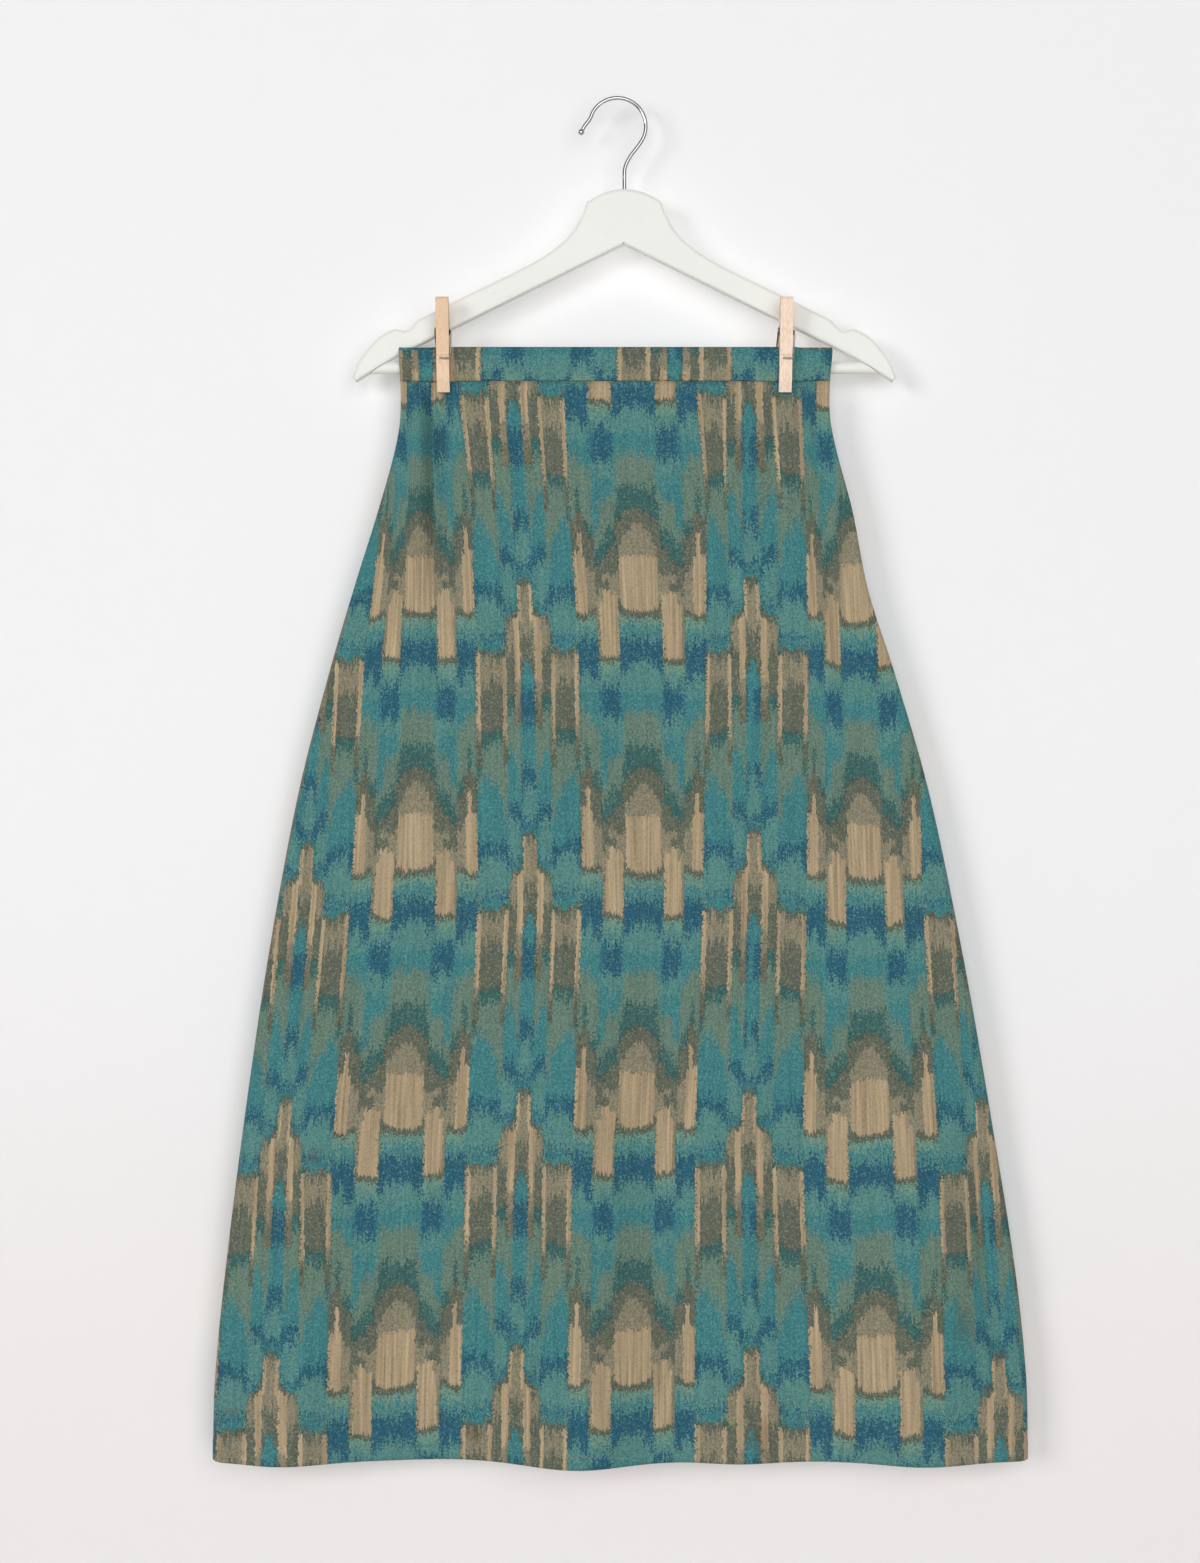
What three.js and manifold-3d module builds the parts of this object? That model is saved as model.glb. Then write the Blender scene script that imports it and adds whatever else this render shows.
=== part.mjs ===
// A-line skirt held by two sprung wooden pegs on the bar of a painted wooden hanger.
// Millimetres. X runs to the viewer's right, Y runs away from the viewer, Z runs up.
// The origin is the inside top of the hook's wire, where a rail carries it.

import * as THREE from 'three';
import { mergeVertices } from 'three/addons/utils/BufferGeometryUtils.js';
import Module from 'manifold-3d';

const wasm = await Module();
wasm.setup();

// Fits and cloth
const GAP = 0.3;
const CLOTH = 1.2;
const BAND_CLOTH = 1.5;
const HEM_CLOTH = 1.9;

// Hanger, measured from its own middle line
const HANGER_X = 5.6;
const BOARD_THICK = 10;
const BOARD_ROUNDING = 2.5;
const NECK_TOP = -71.3;
const ARCH_APEX = -115;
const BAR_Z = -212.5;
const BAR_RADIUS = 4.85;
const BAR_HALF = 206;
const TENON_RADIUS = 3;
const TENON_HALF = 208.6;
const BORE_DEPTH = 24;

// Hook
const WIRE_RADIUS = 1.6;
const HOOK_RADIUS = 22.5;
const HOOK_TIP_RADIUS = 2.5;

// Pegs
const PEG_WIDTH = 10;
const LEG_LENGTH = 73;
const LEG_THICK = 6;
const COIL_ALONG = 47;
const COIL_Y = -13.91;
const COIL_UP = 26;
const COIL_RADIUS = 2.55;
const COIL_TURNS = 7;
const SPRING_WIRE = 0.7;
const COIL_OFFSET = 1.5;
const WIRE_SUNK = 0.8;
const JAW_BEVEL_LONG = 9;
const JAW_BEVEL_DEEP = 2.2;
const HANDLE_END = 3;
const TAPER_FROM_COIL = 5;
const FRONT_TILT = 13;
const REAR_TILT = 30.5;
const BAR_ALONG = 17.6;
const WIRE_ALONG = 27;
const PEGS = [
  { name: 'peg_left', across: -143.1 },
  { name: 'peg_right', across: 126.9 },
];

// Skirt. Every "down" is millimetres below the top edge of the waistband.
const BAND_TOP = -198;
const BAND_DEEP = 26.4;
const HEM_DOWN = 878;
const HEM_TURN = 11;
const FRONT_Y = -8.4;
const BACK_Y = -6.1;
const LAYER_SPACE = 1.9;
const FRONT_FLARE = 5;
const BACK_FLARE = 17;
const BAR_DOWN = BAND_TOP - BAR_Z;
const BAND_LEAN = 0.083;
const JAW_HALF = 8.4;
const JAW_SPREAD = 10;
const JAW_DOWN = 20.5;
const JAW_FADE = 150;
const ZIP_LONG = 190;
const ZIP_WIDE = 9;
const ZIP_THICK = 1.2;
const ZIP_INSET = 0.4;
const ZIP_TOP = 3;
const ZIP_EASE = 20;
const ZIP_BULGE_FROM = 135;
const ZIP_BULGE_OVER = 14;
const ZIP_BULGE_FADE = 60;
const ZIP_BULGE = 1.6;

// The flat outline of the hung skirt, from the hanger's middle line to each side edge
const OUTLINE = [
  { down: 0, left: -178.2, right: 163.9 },
  { down: 26, left: -177.2, right: 162.2 },
  { down: 55, left: -177.2, right: 162.3 },
  { down: 81, left: -181.4, right: 167.3 },
  { down: 129, left: -194.8, right: 180 },
  { down: 192, left: -214.5, right: 192.5 },
  { down: 255, left: -233, right: 213 },
  { down: 350, left: -257.5, right: 240.5 },
  { down: 476, left: -281, right: 267 },
  { down: 603, left: -300, right: 289.5 },
  { down: 729, left: -316, right: 309.5 },
  { down: 816, left: -324.5, right: 318.5 },
  { down: 878, left: -325.9, right: 319.5 },
];

// Soft folds. Each runs down an axis from one place to another. A positive push goes away from the viewer.
// "peak" is how far along the fold is deepest, and each end fades smoothly.
const FRONT_FOLDS = [
  { x0: -154, d0: 18, x1: -141, d1: 270, peak: 0.24, push: 4.6, wide0: 11, wide1: 16 },
  { x0: -171, d0: 24, x1: -174, d1: 230, peak: 0.3, push: -2.6, wide0: 11, wide1: 18 },
  { x0: 143.5, d0: 22, x1: 150, d1: 215, peak: 0.35, push: 2.6, wide0: 6, wide1: 11 },
  { x0: 268, d0: 520, x1: 300, d1: 860, peak: 0.55, push: 7, wide0: 10, wide1: 14 },
  { x0: -228, d0: 330, x1: -269, d1: 890, peak: 0.99, push: -15, wide0: 34, wide1: 42 },
  { x0: -112, d0: 260, x1: -140, d1: 890, peak: 0.99, push: 6, wide0: 36, wide1: 48 },
  { x0: -34, d0: 200, x1: -37, d1: 890, peak: 0.99, push: -24, wide0: 44, wide1: 50 },
  { x0: 72, d0: 300, x1: 91, d1: 890, peak: 0.99, push: -8, wide0: 30, wide1: 34 },
  { x0: 190, d0: 300, x1: 236, d1: 890, peak: 0.99, push: -16, wide0: 38, wide1: 46 },
];
const BACK_FOLDS = [
  { x0: -150, d0: 20, x1: -158, d1: 260, peak: 0.3, push: 4, wide0: 12, wide1: 20 },
  { x0: 120, d0: 20, x1: 126, d1: 240, peak: 0.3, push: 3, wide0: 12, wide1: 20 },
  { x0: -180, d0: 280, x1: -220, d1: 890, peak: 0.99, push: 6, wide0: 40, wide1: 52 },
  { x0: -40, d0: 220, x1: -62, d1: 890, peak: 0.99, push: -7, wide0: 44, wide1: 60 },
  { x0: 60, d0: 240, x1: 84, d1: 890, peak: 0.99, push: 7, wide0: 46, wide1: 54 },
  { x0: 170, d0: 320, x1: 206, d1: 890, peak: 0.99, push: -5, wide0: 36, wide1: 46 },
];

const PAINT = { color: 0xefeee8, roughness: 0.45, metalness: 0 };
const CHROME = { color: 0xc9cbcc, roughness: 0.2, metalness: 1 };
const SPRING_STEEL = { color: 0xa9a49c, roughness: 0.35, metalness: 1 };
const WOOD = { color: 0xe6c8aa, roughness: 0.6, metalness: 0 };
const WEAVE = { color: 0x3e7480, roughness: 0.85, metalness: 0 };
const ZIP_TAPE = { color: 0x1d3c52, roughness: 0.7, metalness: 0 };

const skirt = new THREE.Group();
skirt.position.x = HANGER_X;

function addMesh(name, geometry, finish) {
  const mesh = new THREE.Mesh(geometry, new THREE.MeshStandardMaterial(finish));
  mesh.name = name;
  skirt.add(mesh);
  return mesh;
}

function bare(geometry) {
  const copy = geometry.index ? geometry.toNonIndexed() : geometry.clone();
  copy.deleteAttribute('normal');
  copy.deleteAttribute('uv');
  return mergeVertices(copy, 1e-4);
}

function toSolid(geometry) {
  const merged = bare(geometry);
  const vertProperties = new Float32Array(merged.attributes.position.array);
  const triVerts = new Uint32Array(merged.index.array);
  return new wasm.Manifold(new wasm.Mesh({ numProp: 3, vertProperties, triVerts }));
}

function toGeometry(solid) {
  const result = solid.getMesh();
  const geometry = new THREE.BufferGeometry();
  geometry.setAttribute('position', new THREE.BufferAttribute(result.vertProperties, 3));
  geometry.setIndex(new THREE.BufferAttribute(result.triVerts, 1));
  return geometry;
}

function rodAlongX(radius, from, to, y, z, sides) {
  const rod = new THREE.CylinderGeometry(radius, radius, to - from, sides);
  rod.rotateZ(Math.PI / 2);
  rod.translate((from + to) / 2, y, z);
  return rod;
}

function tubeAlong(curve, radius, sides, steps) {
  const round = new THREE.Shape();
  round.absarc(0, 0, radius, 0, 2 * Math.PI, false);
  const options = { extrudePath: curve, steps, curveSegments: sides / 2, bevelEnabled: false };
  return new THREE.ExtrudeGeometry(round, options);
}

// Hanger board: half of the outline from the neck to the arm's tip, then back along the underside
const NECK_CORNER = { x: 29.4, z: -81.6 };
const UPPER_EDGE = [
  { x: 36, z: -98 },
  { x: 48.4, z: -113.5 },
  { x: 70.5, z: -129 },
  { x: 101, z: -144.3 },
  { x: 130, z: -158.3 },
  { x: 158, z: -172.3 },
  { x: 165.2, z: -176.6 },
];
const STRAP_NOTCH = [
  { x: 169.2, z: -181.6 },
  { x: 173.8, z: -183.9 },
  { x: 178.6, z: -183 },
  { x: 183, z: -182.6 },
];
const SHOULDER = [
  { x: 190, z: -186 },
  { x: 197.5, z: -191.5 },
  { x: 207, z: -203 },
  { x: 212.5, z: -213 },
  { x: 215.2, z: -221 },
];
const ARM_TIP = { x: 212.6, z: -224 };
const UNDERSIDE_BREAK = { x: 181.6, z: -204.6 };

function hangerBoard() {
  const side = [NECK_CORNER, ...UPPER_EDGE, ...STRAP_NOTCH, ...SHOULDER];
  const right = new THREE.SplineCurve(side.map((p) => new THREE.Vector2(p.x, p.z))).getPoints(26);
  const outline = new THREE.Shape();
  outline.moveTo(-NECK_CORNER.x, NECK_CORNER.z);
  outline.quadraticCurveTo(0, 2 * NECK_TOP - NECK_CORNER.z, NECK_CORNER.x, NECK_CORNER.z);
  right.slice(1).forEach((p) => outline.lineTo(p.x, p.y));
  outline.lineTo(ARM_TIP.x, ARM_TIP.z);
  outline.lineTo(UNDERSIDE_BREAK.x, UNDERSIDE_BREAK.z);
  outline.lineTo(0, ARCH_APEX);
  outline.lineTo(-UNDERSIDE_BREAK.x, UNDERSIDE_BREAK.z);
  outline.lineTo(-ARM_TIP.x, ARM_TIP.z);
  right.slice(1).reverse().forEach((p) => outline.lineTo(-p.x, p.y));
  const board = new THREE.ExtrudeGeometry(outline, {
    depth: BOARD_THICK - 2 * BOARD_ROUNDING,
    curveSegments: 8,
    bevelThickness: BOARD_ROUNDING,
    bevelSize: BOARD_ROUNDING,
    bevelOffset: -BOARD_ROUNDING,
    bevelSegments: 2,
  });
  board.translate(0, 0, BOARD_ROUNDING - BOARD_THICK / 2);
  board.rotateX(Math.PI / 2);
  const bore = new THREE.CylinderGeometry(WIRE_RADIUS + GAP, WIRE_RADIUS + GAP, 2 * BORE_DEPTH, 16);
  bore.rotateX(Math.PI / 2);
  bore.translate(0, 0, NECK_TOP);
  const reach = TENON_HALF + GAP;
  const sockets = rodAlongX(TENON_RADIUS + GAP, -reach, reach, 0, BAR_Z, 20);
  return toSolid(board).subtract(toSolid(bore)).subtract(toSolid(sockets));
}

function hangerBar() {
  const rod = toSolid(rodAlongX(BAR_RADIUS, -BAR_HALF, BAR_HALF, 0, BAR_Z, 28));
  const tenon = toSolid(rodAlongX(TENON_RADIUS, -TENON_HALF, TENON_HALF, 0, BAR_Z, 20));
  const run = ARM_TIP.x - UNDERSIDE_BREAK.x;
  const drop = UNDERSIDE_BREAK.z - ARM_TIP.z;
  const slope = Math.atan2(drop, run);
  const cutSize = 80;
  let shaped = rod;
  for (const side of [-1, 1]) {
    const cut = new THREE.BoxGeometry(cutSize, cutSize, cutSize);
    cut.translate(0, 0, cutSize / 2 - GAP);
    cut.rotateY(slope);
    cut.translate(UNDERSIDE_BREAK.x, 0, UNDERSIDE_BREAK.z);
    if (side < 0) {
      cut.rotateZ(Math.PI);
    }
    shaped = shaped.subtract(toSolid(cut));
  }
  return shaped.add(tenon);
}

// Hook: most of a circle, an outward flick with a ball at the open end, and a shank into the neck
const HOOK_FLICK = [
  { x: -34.3, z: -25.5 },
  { x: -31.4, z: -20.3 },
];
const HOOK_SHANK = [
  { x: 3.8, z: -46.2 },
  { x: 0.4, z: -54 },
  { x: 0, z: -64 },
  { x: 0, z: NECK_TOP - BORE_DEPTH + 2 },
];
const HOOK_FROM_ANGLE = 164;
const HOOK_TO_ANGLE = -38;

function hangerHook() {
  const centreZ = WIRE_RADIUS - HOOK_RADIUS;
  const crown = [];
  const cuts = 14;
  for (let i = 0; i <= cuts; i += 1) {
    const turned = HOOK_FROM_ANGLE + ((HOOK_TO_ANGLE - HOOK_FROM_ANGLE) * i) / cuts;
    const angle = THREE.MathUtils.degToRad(turned);
    crown.push({ x: HOOK_RADIUS * Math.cos(angle) - HANGER_X, z: centreZ + HOOK_RADIUS * Math.sin(angle) });
  }
  const route = [...HOOK_FLICK, ...crown, ...HOOK_SHANK];
  const points = route.map((p) => new THREE.Vector3(p.x, 0, p.z));
  const wire = tubeAlong(new THREE.CatmullRomCurve3(points), WIRE_RADIUS, 10, 44);
  const ball = new THREE.SphereGeometry(HOOK_TIP_RADIUS, 12, 8);
  ball.translate(points[0].x, 0, points[0].z);
  return toSolid(wire).add(toSolid(ball));
}

// Pegs: two like wooden legs, turned to face each other, and a spring between them
const REAR_ANGLE = THREE.MathUtils.degToRad(REAR_TILT);
const JAW_SLOPE = Math.tan(THREE.MathUtils.degToRad(FRONT_TILT));

function arcPoints(centreS, centreT, radius, flatT) {
  const half = Math.acos((centreT - flatT) / radius);
  const points = [];
  const cuts = 8;
  for (let i = 0; i <= cuts; i += 1) {
    const angle = half - (2 * half * i) / cuts;
    points.push([centreS + radius * Math.sin(angle), centreT - radius * Math.cos(angle)]);
  }
  return points;
}

function pegLeg(front) {
  const tilt = THREE.MathUtils.degToRad(front ? FRONT_TILT : REAR_TILT);
  const coilT = LEG_THICK + COIL_OFFSET;
  const notchT = coilT + COIL_Y * Math.cos(REAR_ANGLE) + COIL_UP * Math.sin(REAR_ANGLE);
  const points = [
    [0, JAW_BEVEL_DEEP],
    [JAW_BEVEL_LONG, 0],
    [WIRE_ALONG - 1.8, 0],
    [WIRE_ALONG - 1.1, WIRE_SUNK],
    [WIRE_ALONG + 1.6, WIRE_SUNK],
    [WIRE_ALONG + 2.6, 0],
    [LEG_LENGTH - 1, 0],
    [LEG_LENGTH, 1],
    [LEG_LENGTH, HANDLE_END - 0.6],
    [LEG_LENGTH - 0.8, HANDLE_END],
    [COIL_ALONG + TAPER_FROM_COIL, LEG_THICK],
    ...arcPoints(COIL_ALONG, coilT, COIL_RADIUS + SPRING_WIRE + GAP, LEG_THICK),
    ...arcPoints(BAR_ALONG, notchT, BAR_RADIUS + GAP, LEG_THICK),
    [1, LEG_THICK],
    [0, LEG_THICK - 1],
  ];
  const outline = new THREE.Shape(points.map(([s, t]) => new THREE.Vector2(s, t)));
  const leg = new THREE.ExtrudeGeometry(outline, { depth: PEG_WIDTH, bevelEnabled: false });
  // s becomes the leg's own length, t its thickness towards the other leg, and the extrusion its width
  const along = new THREE.Vector3(0, -Math.sin(tilt), Math.cos(tilt));
  const inward = new THREE.Vector3(0, Math.cos(tilt), Math.sin(tilt)).multiplyScalar(front ? 1 : -1);
  const width = new THREE.Vector3().crossVectors(along, inward);
  const start = new THREE.Vector3(0, COIL_Y, BAR_Z + COIL_UP);
  start.addScaledVector(along, -COIL_ALONG);
  start.addScaledVector(inward, -coilT);
  start.addScaledVector(width, -PEG_WIDTH / 2);
  const place = new THREE.Matrix4().makeBasis(along, inward, width).setPosition(start);
  leg.applyMatrix4(place);
  return bare(leg);
}

function legFacePoint(front, alongLeg, outside) {
  const tilt = THREE.MathUtils.degToRad(front ? FRONT_TILT : REAR_TILT);
  const along = new THREE.Vector3(0, -Math.sin(tilt), Math.cos(tilt));
  const outward = new THREE.Vector3(0, -Math.cos(tilt), -Math.sin(tilt)).multiplyScalar(front ? 1 : -1);
  const point = new THREE.Vector3(0, COIL_Y, BAR_Z + COIL_UP);
  point.addScaledVector(along, alongLeg - COIL_ALONG);
  return point.addScaledVector(outward, LEG_THICK + COIL_OFFSET + outside);
}

function pegSpring() {
  const side = PEG_WIDTH / 2 + GAP + SPRING_WIRE;
  const outside = SPRING_WIRE + GAP - WIRE_SUNK;
  const front = legFacePoint(true, WIRE_ALONG, outside);
  const rear = legFacePoint(false, WIRE_ALONG, outside);
  const points = [];
  points.push(new THREE.Vector3(-2.4, front.y, front.z));
  points.push(new THREE.Vector3(side - 1.2, front.y - 0.1, front.z));
  points.push(new THREE.Vector3(side, front.y, front.z + 0.9));
  points.push(new THREE.Vector3(side, front.y + 0.7, front.z + 4));
  const perTurn = 8;
  const count = COIL_TURNS * perTurn;
  for (let i = 0; i <= count; i += 1) {
    const angle = Math.PI + (2 * Math.PI * i) / perTurn;
    const x = side - (2 * side * i) / count;
    const y = COIL_Y + COIL_RADIUS * Math.cos(angle);
    points.push(new THREE.Vector3(x, y, BAR_Z + COIL_UP + COIL_RADIUS * Math.sin(angle)));
  }
  points.push(new THREE.Vector3(-side, rear.y - 1.6, rear.z + 2.6));
  points.push(new THREE.Vector3(-side, rear.y, rear.z + 0.7));
  points.push(new THREE.Vector3(-side + 1.2, rear.y + 0.1, rear.z));
  points.push(new THREE.Vector3(2.4, rear.y, rear.z));
  return bare(tubeAlong(new THREE.CatmullRomCurve3(points, false, 'centripetal'), SPRING_WIRE, 6, 76));
}

// Cloth
function smooth(t) {
  const k = Math.min(1, Math.max(0, t));
  return k * k * (3 - 2 * k);
}

function outlineAt(down, key) {
  const rows = OUTLINE;
  let i = 1;
  while (i < rows.length - 2 && rows[i + 1].down <= down) {
    i += 1;
  }
  const a = down < rows[1].down ? 0 : i;
  const p0 = rows[Math.max(0, a - 1)];
  const p1 = rows[a];
  const p2 = rows[a + 1];
  const p3 = rows[Math.min(rows.length - 1, a + 2)];
  const span = p2.down - p1.down;
  const t = Math.min(1, Math.max(0, (down - p1.down) / span));
  const slope1 = a === 0 ? 0 : ((p2[key] - p0[key]) / (p2.down - p0.down)) * span;
  const slope2 = a + 2 > rows.length - 1 ? 0 : ((p3[key] - p1[key]) / (p3.down - p1.down)) * span;
  const t2 = t * t;
  const t3 = t2 * t;
  const start = (2 * t3 - 3 * t2 + 1) * p1[key] + (t3 - 2 * t2 + t) * slope1;
  return start + (3 * t2 - 2 * t3) * p2[key] + (t3 - t2) * slope2;
}

function foldPush(folds, x, down) {
  let push = 0;
  for (const fold of folds) {
    const along = (down - fold.d0) / (fold.d1 - fold.d0);
    const rise = smooth(along / fold.peak) * smooth((1 - along) / (1 - fold.peak));
    const away = (x - fold.x0 - (fold.x1 - fold.x0) * along) / (fold.wide0 + (fold.wide1 - fold.wide0) * along);
    push += fold.push * rise * Math.exp(-away * away);
  }
  return push;
}

// Below the bar each peg's front jaw presses both layers of cloth back
function jawPush(x, down) {
  const below = down - BAR_DOWN;
  const press = JAW_SLOPE * Math.min(below, JAW_DOWN) + GAP;
  const fall = 1 - smooth((below - JAW_DOWN) / JAW_FADE);
  const spread = JAW_SPREAD * (1 + Math.max(0, below) / 80);
  let push = 0;
  for (const peg of PEGS) {
    const beside = Math.max(0, Math.abs(x - peg.across) - JAW_HALF) / spread;
    push = Math.max(push, press * Math.exp(-beside * beside));
  }
  return below > 0 ? push * fall * smooth(below / 3) : 0;
}

// The front parts from the back at the right end, where the zip is
function zipPush(x, down) {
  const across = smooth((x - ZIP_BULGE_FROM) / ZIP_BULGE_OVER);
  return ZIP_BULGE * across * (1 - smooth((down - ZIP_LONG) / ZIP_BULGE_FADE));
}

function lean(down) {
  return BAND_LEAN * Math.max(0, BAR_DOWN - down);
}

function flare(down) {
  return (Math.max(0, down - BAND_DEEP) / (HEM_DOWN - BAND_DEEP)) ** 1.2;
}

function frontAt(x, down) {
  const flat = FRONT_Y - lean(down) - FRONT_FLARE * flare(down);
  return flat + foldPush(FRONT_FOLDS, x, down) + jawPush(x, down) - zipPush(x, down);
}

// The front's folds push the back layer along where they would meet
function backAt(x, down) {
  const flat = BACK_Y - lean(down) + BACK_FLARE * flare(down);
  const free = flat + foldPush(BACK_FOLDS, x, down) + jawPush(x, down);
  const slope = (frontAt(x + 1, down) - frontAt(x - 1, down)) / 2;
  const pushed = frontAt(x, down) + LAYER_SPACE * Math.hypot(1, slope);
  return pushed + (free - pushed + Math.hypot(free - pushed, GAP)) / 2;
}

// Where a wall turns round into a side seam: the turn's radius across, and its rise to the wall's own depth
function seamTurn(atDepth, facing, down, edge, inward, slot) {
  const end = (frontAt(edge, down) + backAt(edge, down)) / 2 + (facing * slot) / 2;
  const radius = Math.abs(atDepth(edge, down) - end);
  const start = edge + inward * radius;
  return { end, radius, start, inward, rise: atDepth(start, down) - end };
}

function turnPoint(turn, angle) {
  return [turn.start - turn.inward * turn.radius * Math.cos(angle), turn.end + turn.rise * Math.sin(angle)];
}

// One section of a wall's middle surface, from the left seam to the right seam
function section(atDepth, facing, down, half, inner, turnCuts) {
  const zipSlot = (ZIP_THICK + GAP) * (1 - smooth((down - ZIP_LONG - ZIP_EASE) / ZIP_EASE));
  const left = seamTurn(atDepth, facing, down, outlineAt(down, 'left') + half, 1, GAP);
  const right = seamTurn(atDepth, facing, down, outlineAt(down, 'right') - half, -1, GAP + zipSlot);
  const points = [];
  for (let i = 0; i < turnCuts; i += 1) {
    points.push(turnPoint(left, (Math.PI * i) / (2 * turnCuts)));
  }
  for (let i = 0; i <= inner; i += 1) {
    const x = left.start + ((right.start - left.start) * i) / inner;
    points.push([x, atDepth(x, down)]);
  }
  for (let i = turnCuts - 1; i >= 0; i -= 1) {
    points.push(turnPoint(right, (Math.PI * i) / (2 * turnCuts)));
  }
  return points;
}

function clothWall(atDepth, facing, rows, inner, turnCuts) {
  const columns = inner + 2 * turnCuts;
  const positions = [];
  for (const row of rows) {
    const half = row.thick / 2;
    const points = section(atDepth, facing, row.down, half, inner, turnCuts);
    points.forEach(([x, y], c) => {
      const [ax, ay] = points[Math.max(0, c - 1)];
      const [bx, by] = points[Math.min(columns, c + 1)];
      const square = c === 0 || c === columns;
      const tx = square ? 0 : bx - ax;
      const ty = square ? (c === 0 ? facing : -facing) : by - ay;
      const length = Math.hypot(tx, ty);
      const outX = (-facing * ty) / length;
      const outY = (facing * tx) / length;
      const z = BAND_TOP - row.down;
      positions.push(x + outX * half, y + outY * half, z, x - outX * half, y - outY * half, z);
    });
  }
  const at = (c, r, inside) => 2 * (r * (columns + 1) + c) + inside;
  const index = [];
  const quad = (a, b, c, d) => {
    if (facing < 0) {
      index.push(a, b, c, a, c, d);
    } else {
      index.push(a, c, b, a, d, c);
    }
  };
  for (let r = 0; r + 1 < rows.length; r += 1) {
    for (let c = 0; c < columns; c += 1) {
      quad(at(c, r, 0), at(c, r + 1, 0), at(c + 1, r + 1, 0), at(c + 1, r, 0));
      quad(at(c, r, 1), at(c + 1, r, 1), at(c + 1, r + 1, 1), at(c, r + 1, 1));
    }
    quad(at(0, r, 1), at(0, r + 1, 1), at(0, r + 1, 0), at(0, r, 0));
    quad(at(columns, r, 0), at(columns, r + 1, 0), at(columns, r + 1, 1), at(columns, r, 1));
  }
  const last = rows.length - 1;
  for (let c = 0; c < columns; c += 1) {
    quad(at(c, 0, 1), at(c, 0, 0), at(c + 1, 0, 0), at(c + 1, 0, 1));
    quad(at(c, last, 0), at(c, last, 1), at(c + 1, last, 1), at(c + 1, last, 0));
  }
  const geometry = new THREE.BufferGeometry();
  geometry.setAttribute('position', new THREE.Float32BufferAttribute(positions, 3));
  geometry.setIndex(index);
  return geometry;
}

function bandRows(thick) {
  const downs = [0, 7, BAR_DOWN, BAR_DOWN + 3, BAR_DOWN + 7.5, BAND_DEEP];
  return downs.map((down) => ({ down, thick }));
}

// Rows lie closer together near the waist, where the folds are tighter
function panelRows(count) {
  const rows = [{ down: BAND_DEEP + GAP, thick: CLOTH }];
  const jawTip = BAR_DOWN + JAW_DOWN + 1;
  const hemTop = HEM_DOWN - HEM_TURN;
  for (let i = 0; i <= count; i += 1) {
    rows.push({ down: jawTip + (hemTop - 2 - jawTip) * (i / count) ** 1.45, thick: CLOTH });
  }
  rows.push({ down: hemTop, thick: HEM_CLOTH });
  rows.push({ down: HEM_DOWN, thick: HEM_CLOTH });
  return rows;
}

// Side zip: the closed tape and coil, standing in the slot of the right side seam
function sideZip() {
  const rows = [];
  const steps = 14;
  for (let i = 0; i <= steps; i += 1) {
    rows.push(ZIP_TOP + ((ZIP_LONG - ZIP_TOP) * i) / steps);
  }
  const positions = [];
  for (const down of rows) {
    const edge = outlineAt(down, 'right') - ZIP_INSET;
    const z = BAND_TOP - down;
    for (const [dx, dy] of [[0, -1], [0, 1], [-1, 1], [-1, -1]]) {
      const x = edge + dx * ZIP_WIDE;
      const middle = (frontAt(x, down) + backAt(x, down)) / 2;
      positions.push(x, middle + (dy * ZIP_THICK) / 2, z);
    }
  }
  const index = [];
  for (let r = 0; r < steps; r += 1) {
    for (let k = 0; k < 4; k += 1) {
      const a = 4 * r + k;
      const b = 4 * r + ((k + 1) % 4);
      index.push(a, a + 4, b + 4, a, b + 4, b);
    }
  }
  const last = 4 * steps;
  index.push(0, 1, 2, 0, 2, 3, last, last + 2, last + 1, last, last + 3, last + 2);
  const geometry = new THREE.BufferGeometry();
  geometry.setAttribute('position', new THREE.Float32BufferAttribute(positions, 3));
  geometry.setIndex(index);
  return geometry;
}

addMesh('hanger_board', toGeometry(hangerBoard()), PAINT);
addMesh('hanger_bar', toGeometry(hangerBar()), PAINT);
addMesh('hanger_hook', toGeometry(hangerHook()), CHROME);
addMesh('front_waistband', clothWall(frontAt, -1, bandRows(BAND_CLOTH), 32, 3), WEAVE);
addMesh('back_waistband', clothWall(backAt, 1, bandRows(BAND_CLOTH), 32, 3), WEAVE);
addMesh('front_panel', clothWall(frontAt, -1, panelRows(17), 34, 4), WEAVE);
addMesh('back_panel', clothWall(backAt, 1, panelRows(17), 34, 4), WEAVE);
addMesh('side_zip', sideZip(), ZIP_TAPE);
for (const peg of PEGS) {
  const pieces = [
    ['front_leg', pegLeg(true), WOOD],
    ['rear_leg', pegLeg(false), WOOD],
    ['spring', pegSpring(), SPRING_STEEL],
  ];
  for (const [piece, geometry, finish] of pieces) {
    addMesh(`${peg.name}_${piece}`, geometry, finish).position.x = peg.across;
  }
}

export default skirt;
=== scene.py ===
import math

import bmesh
import bpy
import numpy as np
from mathutils import Matrix


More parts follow.
